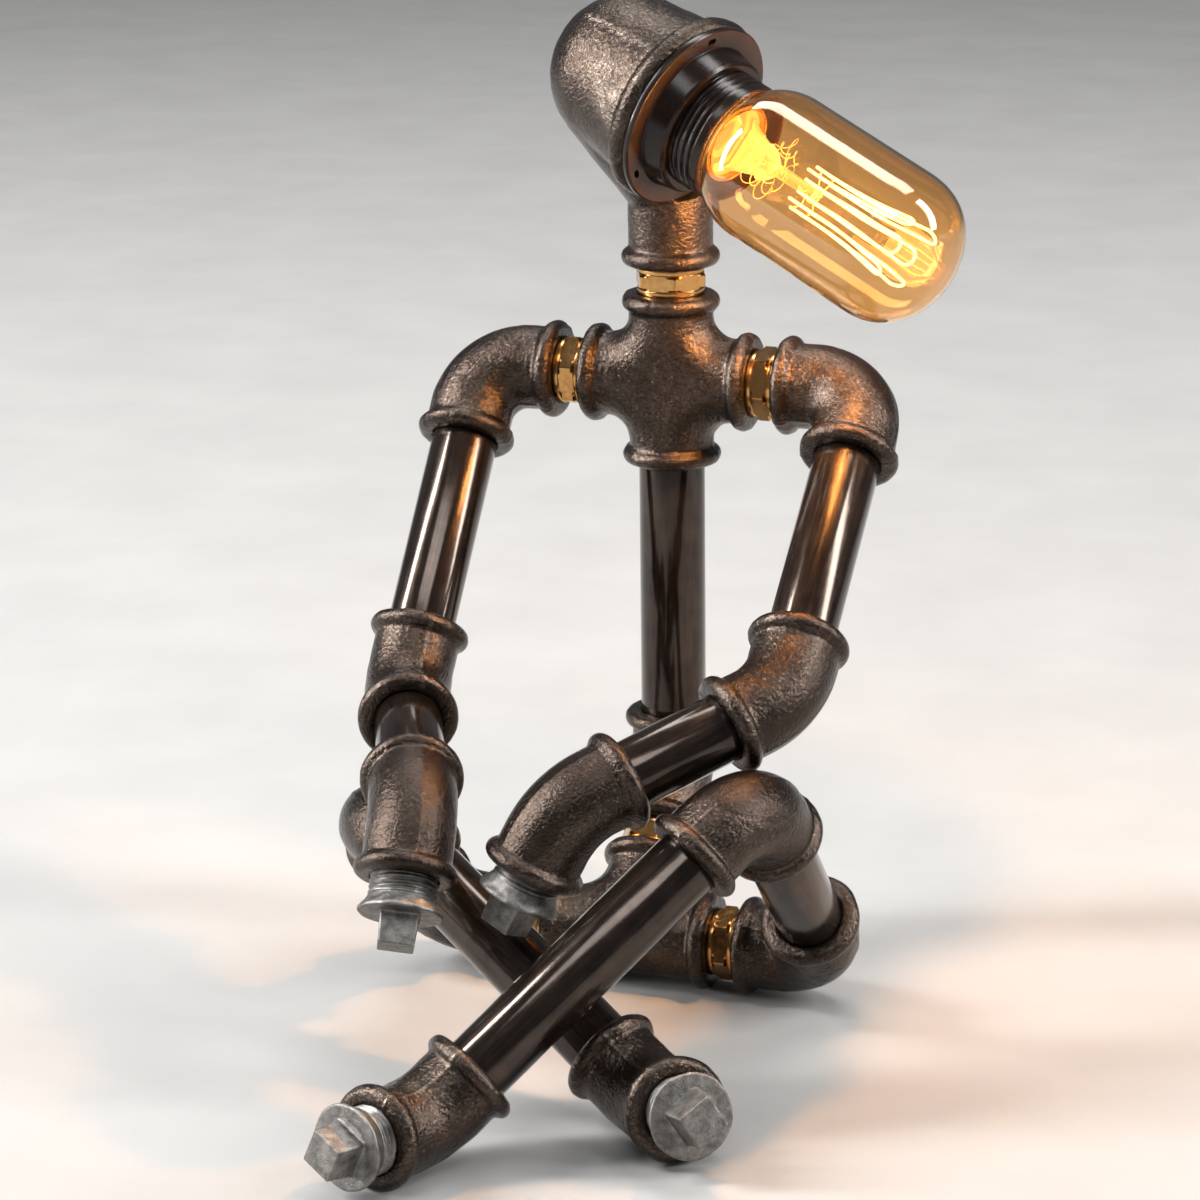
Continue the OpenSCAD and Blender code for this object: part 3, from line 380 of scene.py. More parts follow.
IRON = cast_iron()
PIPE = dark_pipe()
ZINC = galvanised()
BRASS = polished_brass("polished_brass", tint=(0.58, 0.32, 0.115), rough_low=0.12, rough_high=0.26)
CONTACT = polished_brass("contact_brass", tint=(0.70, 0.50, 0.25), rough_low=0.25, rough_high=0.4)
BAKELITE = moulded("bakelite", dark=(0.006, 0.004, 0.003), light=(0.012, 0.007, 0.005), rough_low=0.16,
                   rough_high=0.26, coat=0.0, gloss=0.28)
RUBBER = moulded("black_rubber", dark=(0.018, 0.018, 0.018), light=(0.028, 0.027, 0.026), rough_low=0.55,
                 rough_high=0.7, coat=0.0)
CERAMIC = moulded("white_ceramic", dark=(0.78, 0.76, 0.70), light=(0.86, 0.84, 0.78), rough_low=0.3,
                  rough_high=0.4)
AMBER = glass("amber_bulb_glass", (1.0, 0.70, 0.38))
# Painted light: the stem glass glows by emission, standing in for the filament's light caught in its flare.
STEM = glass("stem_glass", (1.0, 0.88, 0.62), glow=0.6, glow_colour=(1.0, 0.66, 0.22))
GLOW = glowing_wire()
WIRE = painted_glow_wire()

CAD_MATERIAL = {
    "cable_grommet": RUBBER, "trunk_lead": RUBBER, "head_lead": RUBBER,
    "lampholder_base": CERAMIC, "screw_shell": CONTACT, "centre_contact": CONTACT,
    "terminal_screws": CONTACT, "bulb_cap": CONTACT, "bulb_foot_contact": CONTACT,
    "bulb_cap_insulator": BAKELITE,
}


# ---------------------------------------------------------------- building

def settle(name, mesh, material, *cad):
    """Makes a finished piece that stands for its CAD nodes and rides on their body."""
    obj = bpy.data.objects.new(name, mesh)
    bpy.context.scene.collection.objects.link(obj)
    mesh.materials.clear()
    mesh.materials.append(material)
    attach(obj, BODY_OF[cad[0]])
    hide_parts(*cad)
    return obj


def store(mesh, name, values):
    layer = mesh.attributes.new(name, "FLOAT", "POINT")
    layer.data.foreach_set("value", np.asarray(values, np.float32))


def coords(mesh):
    flat = np.empty(len(mesh.vertices) * 3, np.float32)
    mesh.vertices.foreach_get("co", flat)
    return flat.reshape(-1, 3).astype(float)


def normals(mesh):
    flat = np.empty(len(mesh.vertices) * 3, np.float32)
    mesh.vertex_normals.foreach_get("vector", flat)
    return flat.reshape(-1, 3).astype(float)


def local(points, place):
    """Points in metres, in a frame given in mm, in mm."""
    inv = np.array(place.inverted())
    return (points / MM) @ inv[:3, :3].T + inv[:3, 3]


def ripple(points, seed, size):
    """Smooth noise of about -1 to 1 from a few sines that cross one another."""
    waves = 7
    rng = np.random.default_rng(seed)
    total = np.zeros(len(points))
    for _ in range(waves):
        way = rng.normal(size=3)
        way /= np.linalg.norm(way)
        total += np.sin(points @ way * 2 * math.pi / (size * rng.uniform(0.6, 1.6)) + rng.uniform(0, 6.28))
    return total / (waves / 2)


def voxel_copy(node, voxel_mm):
    """The CAD node's form with every edge and corner blended as in a casting."""
    mesh = nodes[node].data.copy()
    obj = bpy.data.objects.new(node + "_work", mesh)
    bpy.context.scene.collection.objects.link(obj)
    remesh = obj.modifiers.new("blend", "REMESH")
    remesh.mode = "VOXEL"
    remesh.voxel_size = voxel_mm * MM
    remesh.use_smooth_shade = True
    relax = obj.modifiers.new("relax", "SMOOTH")
    relax.factor = 0.5
    relax.iterations = 2
    depsgraph = bpy.context.evaluated_depsgraph_get()
    done = bpy.data.meshes.new_from_object(obj.evaluated_get(depsgraph))
    obj.modifiers.clear()
    bpy.data.objects.remove(obj)
    bpy.data.meshes.remove(mesh)
    return done


def clipped(co, node):
    """Keeps the piece inside its CAD node's own box."""
    low, high = (np.array(v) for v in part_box(node))
    return np.clip(co, low, high)


def fitting(node, place, seed, voxel_mm=0.58, extra=None, legs=()):
    """A cast fitting: blended edges, slight unevenness, and a mould line in the place's XZ plane."""
    swell, swell_size = 0.10, 11
    dent, dent_size = 0.05, 4
    line_w, line_h, line_change, line_size = 0.52, 0.16, 0.07, 3
    leg_reach, inside_r = 60, BODY_R - 1.8
    mesh = voxel_copy(node, voxel_mm)
    co = coords(mesh)
    no = normals(mesh)
    at = local(co, place)
    lift = swell * ripple(at, seed, swell_size) + dent * ripple(at, seed + 1, dent_size)
    line = np.exp(-(at[:, 1] / line_w) ** 2) * (line_h + line_change * ripple(at, seed + 2, line_size))
    outside = np.ones(len(co))
    for leg in legs:
        on_leg = local(co, leg)
        radial = np.hypot(on_leg[:, 0], on_leg[:, 1])
        outside *= np.where((np.abs(on_leg[:, 2]) < leg_reach) & (radial < inside_r), 0.0, 1.0)
    proud = np.clip(line * 4, 0, 1)
    if extra is not None:
        more = extra(co)
        lift += more
        proud = np.maximum(proud, np.clip(more * 3, 0, 1))
    lift += line
    co += no * (lift * outside * MM)[:, None]
    co = clipped(co, node)
    mesh.vertices.foreach_set("co", co.astype(np.float32).ravel())
    mesh.update()
    store(mesh, "proud", proud * outside)
    # The "hollow" mark is 1 inside the legs' bores; the materials darken it there as painted shade.
    store(mesh, "hollow", 1 - outside)
    mesh.shade_smooth()
    return settle(node + "_cast", mesh, IRON, node)


def lathe(name, place, profile, sides, material, cad, radius=None, closed=False, marks=None, sharp=32):
    """A turned form along a frame's Z from (z, r) stations; radius(z, r, angle) may change it.

    The UV map holds mm: round the form at a radius of 10 mm, and along its outline.
    """
    stations = np.array(profile, float)
    count = len(stations)
    angle = np.linspace(0, 2 * math.pi, sides, endpoint=False)
    z = np.repeat(stations[:, 0][:, None], sides, axis=1)
    r = np.repeat(stations[:, 1][:, None], sides, axis=1)
    a = np.repeat(angle[None, :], count, axis=0)
    if radius is not None:
        r = radius(z, r, a)
    points = np.stack([r * np.cos(a), r * np.sin(a), z], axis=-1).reshape(-1, 3)
    world = np.array(place)
    points = (points @ world[:3, :3].T + world[:3, 3]) * MM
    uv_r = 10
    around = 2 * math.pi * uv_r
    length = np.concatenate([[0], np.cumsum(np.hypot(*np.diff(stations, axis=0).T))])
    faces, uvs = [], []
    rows = count if closed else count - 1
    for i in range(rows):
        j = (i + 1) % count
        far = length[j] if j else length[-1] + 1
        for k in range(sides):
            m = (k + 1) % sides
            faces.append((i * sides + k, i * sides + m, j * sides + m, j * sides + k))
            u0, u1 = k / sides * around, (k + 1) / sides * around
            uvs += [(u0, length[i]), (u1, length[i]), (u1, far), (u0, far)]
    mesh = bpy.data.meshes.new(name)
    mesh.from_pydata([tuple(p) for p in points], [], faces)
    layer = mesh.uv_layers.new(name="along")
    layer.data.foreach_set("uv", (np.array(uvs) * MM).astype(np.float32).ravel())
    if marks:
        for key, values in marks.items():
            store(mesh, key, np.repeat(np.asarray(values, float), sides))
    bm = bmesh.new()
    bm.from_mesh(mesh)
    bmesh.ops.remove_doubles(bm, verts=bm.verts, dist=1e-7)
    bmesh.ops.recalc_face_normals(bm, faces=bm.faces)
    bm.to_mesh(mesh)
    bm.free()
    mesh.shade_smooth()
    mesh.set_sharp_from_angle(angle=math.radians(sharp))
    return settle(name, mesh, material, *cad)


# ---------------------------------------------------------------- fittings

def both_ways(place, angle):
    """The frames of a bend's two legs."""
    return (place, place @ turn("Y", angle))


fitting("hip_tee", BRANCH, 11, legs=(BRANCH, HIPS @ turn("Y", 90)))
fitting("chest_cross", CHEST, 12, legs=(CHEST, CHEST @ turn("Y", 90)))
fitting("waist_elbow", WAIST, 13, legs=both_ways(WAIST, 45))
for side, word in SIDES.items():
    at = PLACE[side]
    seed = 20 if side == LEFT else 50
    fitting(word + "_shoulder_elbow", at["shoulder"], seed, legs=both_ways(at["shoulder"], 90))
    fitting(word + "_arm_elbow", at["elbow"], seed + 3, legs=both_ways(at["elbow"], 45))
    fitting(word + "_wrist_elbow", at["wrist"], seed + 6, legs=both_ways(at["wrist"], 45))
    fitting(word + "_hip_elbow", at["hip"], seed + 9, legs=both_ways(at["hip"], 90))
    fitting(word + "_knee_elbow", at["knee"], seed + 12, legs=both_ways(at["knee"], 90))
    fitting(word + "_foot_elbow", at["foot"], seed + 15, legs=both_ways(at["foot"], 45))


def head_marks(co):
    """The jagged mould ridge along the barrel."""
    ridge_at, ridge_w, ridge_h, barrel_r = -138, 0.7, 0.42, 22
    rear, rear_fade, front, front_fade = -22, 4, 14, 1.5
    at = local(co, BULB)
    radial = np.hypot(at[:, 0], at[:, 1])
    angle = np.degrees(np.arctan2(at[:, 1], at[:, 0]))
    wander = 1.6 * np.sin(at[:, 2] * 1.9) + 1.1 * np.sin(at[:, 2] * 4.3 + 1)
    off = (angle - ridge_at + wander * 0.5) * radial * math.pi / 180
    along = np.clip((at[:, 2] - rear) / rear_fade, 0, 1) * np.clip((front - at[:, 2]) / front_fade, 0, 1)
    ridge = ridge_h * np.exp(-(off / ridge_w) ** 2) * along * (radial > barrel_r)
    return ridge * (0.75 + 0.25 * np.sin(at[:, 2] * 3.1))


# This plane, HEAD_LINE_AHEAD in front of the neck, puts the mould line on the barrel's front flank.
HEAD_LINE = NECK @ turn("Z", -BULB_TURN) @ move(y=-HEAD_LINE_AHEAD)
fitting("head_casting", HEAD_LINE, 90, voxel_mm=0.62, extra=head_marks)


# ---------------------------------------------------------------- pipes, nipples and plugs

def rounded_rows(points, radius=0.4, steps=3):
    """Rounds the corners of a (z, r) outline a little."""
    out = [points[0]]
    for before, here, after in zip(points, points[1:], points[2:]):
        before, here, after = (np.array(p, float) for p in (before, here, after))
        to_before, to_after = before - here, after - here
        reach = min(radius, np.linalg.norm(to_before) * 0.45, np.linalg.norm(to_after) * 0.45)
        start = here + to_before / np.linalg.norm(to_before) * reach
        end = here + to_after / np.linalg.norm(to_after) * reach
        for t in np.linspace(0, 1, steps + 1):
            out.append(tuple((1 - t) ** 2 * start + 2 * t * (1 - t) * here + t * t * end))
    out.append(points[-1])
    return out


def pipe(name, place, length):
    outline = [(-THREAD_LEN, PIPE_BORE_R), (-THREAD_LEN, THREAD_R), (0, THREAD_R), (0, PIPE_R),
               (length, PIPE_R), (length, THREAD_R), (length + THREAD_LEN, THREAD_R),
               (length + THREAD_LEN, PIPE_BORE_R)]
    lathe(name + "_tube", place, rounded_rows(outline, 0.3), 96, PIPE, [name], closed=True)


def hexagon(z, r, a):
    """The nipple's hexagon where the outline asks for more than the collar."""
    flat = NIPPLE_HEX / 2
    wedge = np.mod(a, math.pi / 3) - math.pi / 6
    side = flat / np.cos(wedge)
    return np.where(r > NIPPLE_COLLAR_R + 0.01, np.minimum(r, np.maximum(side, flat)), r)


def nipple(name, place, head_turn=0):
    collar = (NIPPLE_GAP - NIPPLE_HEX_W) / 2
    corner = NIPPLE_HEX / math.sqrt(3)
    flat = NIPPLE_HEX / 2
    top = collar + NIPPLE_HEX_W
    groove = NIPPLE_COLLAR_R - 0.25
    groove_w, groove_rise = 0.1, 0.3
    hex_start = NIPPLE_COLLAR_R + 0.02
    hex_tip = corner - 0.15
    rise = (corner - flat) / 2
    outline = [(-THREAD_LEN, NIPPLE_BORE_R), (-THREAD_LEN, THREAD_R), (0, THREAD_R), (0, NIPPLE_COLLAR_R),
               (collar - groove_rise, NIPPLE_COLLAR_R), (collar - groove_w, groove), (collar, groove),
               (collar, hex_start), (collar + rise, hex_tip), (top - rise, hex_tip),
               (top, hex_start), (top, groove), (top + groove_w, groove),
               (top + groove_rise, NIPPLE_COLLAR_R), (NIPPLE_GAP, NIPPLE_COLLAR_R), (NIPPLE_GAP, THREAD_R),
               (NIPPLE_GAP + THREAD_LEN, THREAD_R), (NIPPLE_GAP + THREAD_LEN, NIPPLE_BORE_R)]
    lathe(name + "_turned", place @ turn("Z", head_turn), rounded_rows(outline, 0.15, 2), 240, BRASS,
          [name], radius=hexagon, closed=True, sharp=20)


def rounded_square(half, a, power=20):
    return half / (np.abs(np.cos(a)) ** power + np.abs(np.sin(a)) ** power) ** (1 / power)


def plug(name, place, thread_out, head_turn=0, seed=1):
    """Square headed plug: a helical thread, a cast cone with its rim, and a tapered head."""
    rim, edge, foot, thread_step = 1.0, 0.35, 0.6, 0.13
    chamfer, runout, fade_len = 0.9, 0.2, 1.2
    end_face, thread, collar, head = range(4)
    shoulder = thread_out + PLUG_COLLAR_LEN
    tip = shoulder + PLUG_HEAD_LEN
    root, corner = PLUG_HEAD_W / 2, PLUG_TIP_W / 2
    rows, part = [(-THREAD_LEN, 0.0), (-THREAD_LEN, THREAD_R - chamfer)], [end_face, end_face]

    def put(z, r, kind):
        rows.append((z, r))
        part.append(kind)

    for z in np.arange(-THREAD_LEN + 0.1, thread_out - runout, thread_step):
        put(z, THREAD_R, thread)
    put(thread_out, THREAD_R - 0.1, collar)
    for t in np.linspace(0.1, 1, 8):
        spread = (PLUG_COLLAR_R - THREAD_R) * t ** 1.25
        put(thread_out + t * (PLUG_COLLAR_LEN - rim), THREAD_R + spread, collar)
    put(shoulder - 0.45, PLUG_COLLAR_R, collar)
    put(shoulder - 0.12, PLUG_COLLAR_R - 0.18, collar)
    for r in np.linspace(PLUG_COLLAR_R - 0.6, root + 2.6, 8):
        put(shoulder, r, collar)
    for t in np.linspace(0, 1, 5):
        put(shoulder + 0.1 + 0.5 * t, root, head)
    for t in np.linspace(0.1, 1, 10):
        put(shoulder + foot + (PLUG_HEAD_LEN - foot - edge) * t, root + (corner - root) * t, head)
    for t in np.linspace(0.2, 1, 5):
        bend = t * math.pi / 2
        put(tip - edge + edge * math.sin(bend), corner - edge * (1 - math.cos(bend)), head)
    for t in np.linspace(0.85, 0, 7):
        put(tip, (corner - edge) * t, head)
    kinds = np.array(part)[:, None]
    turn_by = math.radians(head_turn)
    vee_depth, foot_fillet, foot_fade = 0.85, 0.8, 0.4

    def radius(z, r, a):
        wave = np.mod(z / PIPE_PITCH - a / (2 * math.pi), 1)
        vee = np.abs(wave - 0.5) * 2
        fade = np.clip((thread_out - runout - z) / fade_len, 0, 1)
        threaded = r - vee_depth * np.clip(1.12 - 1.2 * vee, 0, 1) * fade
        square = rounded_square(r, a - turn_by)
        blend = foot_fillet * np.exp(-(np.clip(z - shoulder, 0, 9) / foot_fade))
        rough = 0.09 * np.sin(5 * a + seed + z * 0.8) + 0.06 * np.sin(11 * a - z * 1.7 + 2 * seed)
        out = np.where(kinds == thread, threaded, r)
        out = np.where((kinds == collar) & (r > root + 2) & (r > THREAD_R + 0.5), r + rough, out)
        return np.where(kinds == head, square + blend * (z < tip - 1), out)

    machined = (np.array(part) == thread).astype(float)
    lathe(name + "_cast", place, rows, 192, ZINC, [name], radius=radius,
          marks={"machined": machined, "hollow": np.zeros(len(rows))}, sharp=50)


pipe("torso_pipe", TORSO, TORSO_LEN)
nipple("waist_nipple", BRANCH @ move(z=SQUARE_LEG))
nipple("neck_nipple", CHEST @ move(z=SQUARE_LEG), NECK_NIPPLE_TURN)
for side, word in SIDES.items():
    at = PLACE[side]
    pipe(word + "_upper_arm_pipe", at["upper_arm"], UPPER_ARM_LEN)
    pipe(word + "_forearm_pipe", at["forearm"], FOREARM_LEN)
    pipe(word + "_thigh_pipe", at["thigh"], THIGH_LEN[side])
    pipe(word + "_shin_pipe", at["shin"], SHIN_LEN)
    nipple(word + "_shoulder_nipple", at["arm"], SHOULDER_NIPPLE_TURN[side])
    nipple(word + "_hip_nipple", at["leg"])
    plug(word + "_hand_plug", at["hand"], HAND_THREAD[side], HAND_HEAD_TURN[side], seed=3 + side)
    plug(word + "_foot_plug", at["toe"], FOOT_THREAD, seed=7 + side)


# ---------------------------------------------------------------- lampholder and bulb

def lampholder_shell():
    """The shell's thread runs from inside the shade ring's hub to a plain lip at its mouth."""
    lip_w, thread_step, thread_hidden = 3.0, 0.1, 3
    thread_depth = 0.84
    thread_end = SHELL_MOUTH - lip_w
    front = HEAD_FACE + RING_FRONT
    bore = SHELL_IN_R - 0.8
    lip_r = SHELL_R - 0.15
    rows = [(SHELL_REAR, bore), (SHELL_REAR, SHELL_R), (front - thread_hidden, SHELL_R)]
    rows += [(z, SHELL_R) for z in np.arange(front - thread_hidden + 0.1, thread_end + 0.2, thread_step)]
    rows += [(thread_end + 0.4, lip_r), (SHELL_MOUTH - 0.9, lip_r)]
    rows += [(SHELL_MOUTH - 0.5, lip_r - 0.15), (SHELL_MOUTH - 0.1, lip_r - 0.6),
             (SHELL_MOUTH, lip_r - 0.95), (SHELL_MOUTH - 0.2, SHELL_IN_R + 0.1),
             (SHELL_MOUTH - 0.7, SHELL_IN_R),
             (SHELL_REAR + BASE_T, SHELL_IN_R), (SHELL_REAR + BASE_T, bore)]

    def radius(z, r, a):
        inside_thread = (z > front - thread_hidden + 0.05) & (z < thread_end + 0.15) & (r > SHELL_IN_R + 0.5)
        wave = np.cos(2 * math.pi * (z / SHELL_PITCH - a / (2 * math.pi)))
        fade = np.clip((thread_end + 0.1 - z) / 0.6, 0, 1)
        return np.where(inside_thread, r - thread_depth / 2 * (1 + np.clip(wave * 1.5, -1, 1)) * fade, r)

    lathe("lampholder_shell_threaded", BULB, rows, 160, BAKELITE, ["lampholder_shell"], radius=radius,
          closed=True, sharp=40)


def slot_cutter(turn_by):
    """A small rounded slot through the shade ring's flange."""
    sides, from_rim, past = 32, 3.2, 1
    ring = []
    for i in range(sides):
        a = 2 * math.pi * (i + 0.5) / sides
        stretch = math.copysign(SLOT_HALF, math.sin(a))
        ring.append((RING_HOLE_R * math.cos(a), RING_HOLE_R * math.sin(a) + stretch))
    place = BULB @ move(z=HEAD_FACE) @ turn("Z", turn_by) @ move(RING_R - from_rim)
    points = [tuple((place @ Vector((x, y, z))) * MM) for z in (-past, RING_T + past) for x, y in ring]
    faces = [tuple(range(sides - 1, -1, -1)), tuple(range(sides, 2 * sides))]
    faces += [(i, (i + 1) % sides, sides + (i + 1) % sides, sides + i) for i in range(sides)]
    mesh = bpy.data.meshes.new("slot")
    mesh.from_pydata(points, [], faces)
    obj = bpy.data.objects.new("slot", mesh)
    bpy.context.scene.collection.objects.link(obj)
    return obj


def shade_ring():
    """Turned flange and tapered hub with three small slots."""
    bore, bevel, first_slot, slots = SHELL_R + 0.05, 0.5, -172, 3
    hub_taper, hub_bevel, sharp = 1.3, 1, 40
    outline = [(0, bore), (0, RING_R), (RING_T - bevel, RING_R), (RING_T, RING_R - bevel),
               (RING_T, RING_HUB_R), (RING_FRONT - hub_bevel, RING_HUB_R - hub_taper),
               (RING_FRONT, RING_HUB_R - hub_taper - hub_bevel), (RING_FRONT, bore)]
    ring = lathe("shade_ring_moulded", BULB @ move(z=HEAD_FACE), rounded_rows(outline, 0.25, 3), 160,
                 BAKELITE, ["shade_ring"], closed=True, sharp=sharp)
    cutters = [slot_cutter(first_slot + i * 360 / slots) for i in range(slots)]
    for cutter in cutters:
        cut = ring.modifiers.new("cut", "BOOLEAN")
        cut.operation = "DIFFERENCE"
        cut.solver = "EXACT"
        cut.object = cutter
    depsgraph = bpy.context.evaluated_depsgraph_get()
    mesh = bpy.data.meshes.new_from_object(ring.evaluated_get(depsgraph))
    ring.modifiers.clear()
    ring.data = mesh
    mesh.set_sharp_from_angle(angle=math.radians(sharp))
    for cutter in cutters:
        bpy.data.objects.remove(cutter)


def glass_outline():
    """Neck, swell, straight body and dome of the bulb's outer face."""
    swell_power, swell_rows, row_power = 0.38, 24, 2.2
    dome_power, dome_rows, body_rows = 2 / 2.3, 32, 12

    def swell(z):
        share = (z - SWELL_START) / (SWELL_END - SWELL_START)
        return GLASS_NECK_R + (BULB_R - GLASS_NECK_R) * math.sin(share * math.pi / 2) ** swell_power

    rows = [(GLASS_START, GLASS_NECK_R), (SWELL_START, GLASS_NECK_R)]
    for i in range(1, swell_rows + 1):
        z = SWELL_START + (SWELL_END - SWELL_START) * (i / swell_rows) ** row_power
        rows.append((z, swell(z)))
    dome = BULB_TIP - BULB_DOME
    for z in np.linspace(SWELL_END, dome, body_rows)[1:]:
        rows.append((z, BULB_R))
    for i in range(1, dome_rows + 1):
        t = i / dome_rows * math.pi / 2
        rows.append((dome + BULB_DOME * math.sin(t) ** dome_power,
                     BULB_R * max(0.0, math.cos(t)) ** dome_power))
    return rows


def bulb_glass():
    outer = glass_outline()
    dome = BULB_TIP - BULB_DOME
    squeeze = (BULB_DOME - GLASS_WALL) / BULB_DOME
    shrink = (BULB_R - GLASS_WALL) / BULB_R
    inner = [(z, r - GLASS_WALL) if z <= dome else (dome + (z - dome) * squeeze, r * shrink)
             for z, r in outer]
    blown = lathe("bulb_glass_blown", BULB, outer + inner[::-1], 128, AMBER, ["bulb_glass"], closed=True,
                  sharp=60)
    blown.visible_shadow = False


def stem():
    """Flared foot, flattened pinch, rod and button, hollow up to the pinch."""
    foot, foot_rise, foot_power = GLASS_START + 1, 6, 0.55
    flare = GLASS_NECK_R - GLASS_WALL
    throat, throat_r, throat_in_r, pinch_r = foot + foot_rise, 7.5, 6.3, 4.2
    button_r, button_len, wall = 3.0, 2, 1.0
    pinch_half, pinch_flatten = 2.5, 0.28
    outside = [(GLASS_START, flare), (foot, flare)]
    for t in np.linspace(0.1, 1, 12):
        outside.append((foot + t * foot_rise, flare + (throat_r - flare) * t ** foot_power))
    for t in np.linspace(0.1, 1, 8):
        outside.append((throat + t * (STEM_PINCH - throat), throat_r + (pinch_r - throat_r) * t))
    outside += [(STEM_PINCH + 3, ROD_R), (ROD_END, ROD_R), (ROD_END, button_r),
                (ROD_END + button_len, button_r), (ROD_END + button_len, 0.0)]
    inside = [(STEM_PINCH - 3, 0.0), (STEM_PINCH - 4, 3.0)]
    for t in np.linspace(1, 0, 10):
        inside.append((foot + t * foot_rise, flare - wall + (throat_in_r - flare + wall) * t ** foot_power))
    inside.append((GLASS_START, flare - wall))

    def pinch(z, r, a):
        flat = (z > STEM_PINCH - pinch_half) & (z < STEM_PINCH + pinch_half) & (r > 0.1)
        return np.where(flat, r * (1 + pinch_flatten * np.cos(2 * a)), r)

    lathe("bulb_stem_glass", BULB, rounded_rows(outside, 0.8, 4) + inside, 72, STEM, ["bulb_stem"],
          radius=pinch, closed=True, sharp=50)


def curve_object(name, lines):
    """One curve of several open lines, each a list of points in mm."""
    data = bpy.data.curves.new(name, "CURVE")
    data.dimensions = "3D"
    for points in lines:
        spline = data.splines.new("POLY")
        spline.points.add(len(points) - 1)
        for target, p in zip(spline.points, points):
            target.co = (*(np.array(p, float) * MM), 1)
    obj = bpy.data.objects.new(name, data)
    bpy.context.scene.collection.objects.link(obj)
    return obj


def ring_of_tubes(label):
    """Geometry Nodes: copies a curve round the Z axis, scales the copies a little, and skins them."""
    tree = bpy.data.node_groups.new(label, "GeometryNodeTree")
    face = tree.interface
    face.new_socket(name="Geometry", in_out="INPUT", socket_type="NodeSocketGeometry")
    copies = face.new_socket(name="Copies", in_out="INPUT", socket_type="NodeSocketInt")
    wire = face.new_socket(name="Wire Radius", in_out="INPUT", socket_type="NodeSocketFloat")
    seed = face.new_socket(name="Seed", in_out="INPUT", socket_type="NodeSocketInt")
    spread = face.new_socket(name="Length Spread", in_out="INPUT", socket_type="NodeSocketFloat")
    paint = face.new_socket(name="Material", in_out="INPUT", socket_type="NodeSocketMaterial")
    face.new_socket(name="Geometry", in_out="OUTPUT", socket_type="NodeSocketGeometry")

    def add(kind, **settings):
        node = tree.nodes.new(kind)
        for key, value in settings.items():
            setattr(node, key, value)
        return node

    def join(a, b):
        tree.links.new(a, b)

    given = add("NodeGroupInput")
    line = add("GeometryNodeMeshLine")
    line.inputs["Offset"].default_value = (0, 0, 0)
    join(given.outputs["Copies"], line.inputs["Count"])
    index = add("GeometryNodeInputIndex")
    step = add("ShaderNodeMath", operation="DIVIDE")
    step.inputs[0].default_value = 2 * math.pi
    join(given.outputs["Copies"], step.inputs[1])
    angle = add("ShaderNodeMath", operation="MULTIPLY")
    join(index.outputs[0], angle.inputs[0])
    join(step.outputs[0], angle.inputs[1])
    spin = add("ShaderNodeCombineXYZ")
    join(angle.outputs[0], spin.inputs["Z"])
    low = add("ShaderNodeMath", operation="SUBTRACT")
    low.inputs[0].default_value = 1
    join(given.outputs["Length Spread"], low.inputs[1])
    vary = add("FunctionNodeRandomValue", data_type="FLOAT")
    join(low.outputs[0], vary.inputs[2])
    vary.inputs[3].default_value = 1
    join(given.outputs["Seed"], vary.inputs[8])
    size = add("ShaderNodeCombineXYZ")
    size.inputs["X"].default_value = 1
    size.inputs["Y"].default_value = 1
    join(vary.outputs[1], size.inputs["Z"])
    place = add("GeometryNodeInstanceOnPoints")
    join(line.outputs[0], place.inputs["Points"])
    join(given.outputs["Geometry"], place.inputs["Instance"])
    join(spin.outputs[0], place.inputs["Rotation"])
    join(size.outputs[0], place.inputs["Scale"])
    real = add("GeometryNodeRealizeInstances")
    join(place.outputs[0], real.inputs[0])
    circle = add("GeometryNodeCurvePrimitiveCircle")
    circle.inputs["Resolution"].default_value = 10
    join(given.outputs["Wire Radius"], circle.inputs["Radius"])
    skin = add("GeometryNodeCurveToMesh")
    skin.inputs["Fill Caps"].default_value = True
    join(real.outputs[0], skin.inputs[0])
    join(circle.outputs[0], skin.inputs[1])
    finish = add("GeometryNodeSetMaterial")
    join(skin.outputs[0], finish.inputs["Geometry"])
    join(given.outputs["Material"], finish.inputs["Material"])
    out = add("NodeGroupOutput")
    join(finish.outputs[0], out.inputs[0])
    names = {"copies": copies, "wire": wire, "seed": seed, "spread": spread, "paint": paint}
    return tree, {key: socket.identifier for key, socket in names.items()}


WIRES, WIRES_IN = ring_of_tubes("ring_of_wires")


def wires(name, lines, material, cad, copies, wire_mm, seed, spread):
    source = curve_object(name + "_path", lines)
    modifier = source.modifiers.new("wires", "NODES")
    modifier.node_group = WIRES
    modifier[WIRES_IN["copies"]] = copies
    modifier[WIRES_IN["wire"]] = wire_mm * MM
    modifier[WIRES_IN["seed"]] = seed
    modifier[WIRES_IN["spread"]] = spread
    modifier[WIRES_IN["paint"]] = material
    source.data.update_tag()
    depsgraph = bpy.context.evaluated_depsgraph_get()
    mesh = bpy.data.meshes.new_from_object(source.evaluated_get(depsgraph))
    source.modifiers.clear()
    bpy.data.objects.remove(source)
    place = Matrix.LocRotScale(BULB.to_translation() * MM, BULB.to_quaternion(), None)
    mesh.transform(place)
    mesh.shade_smooth()
    return settle(name, mesh, material, *cad)


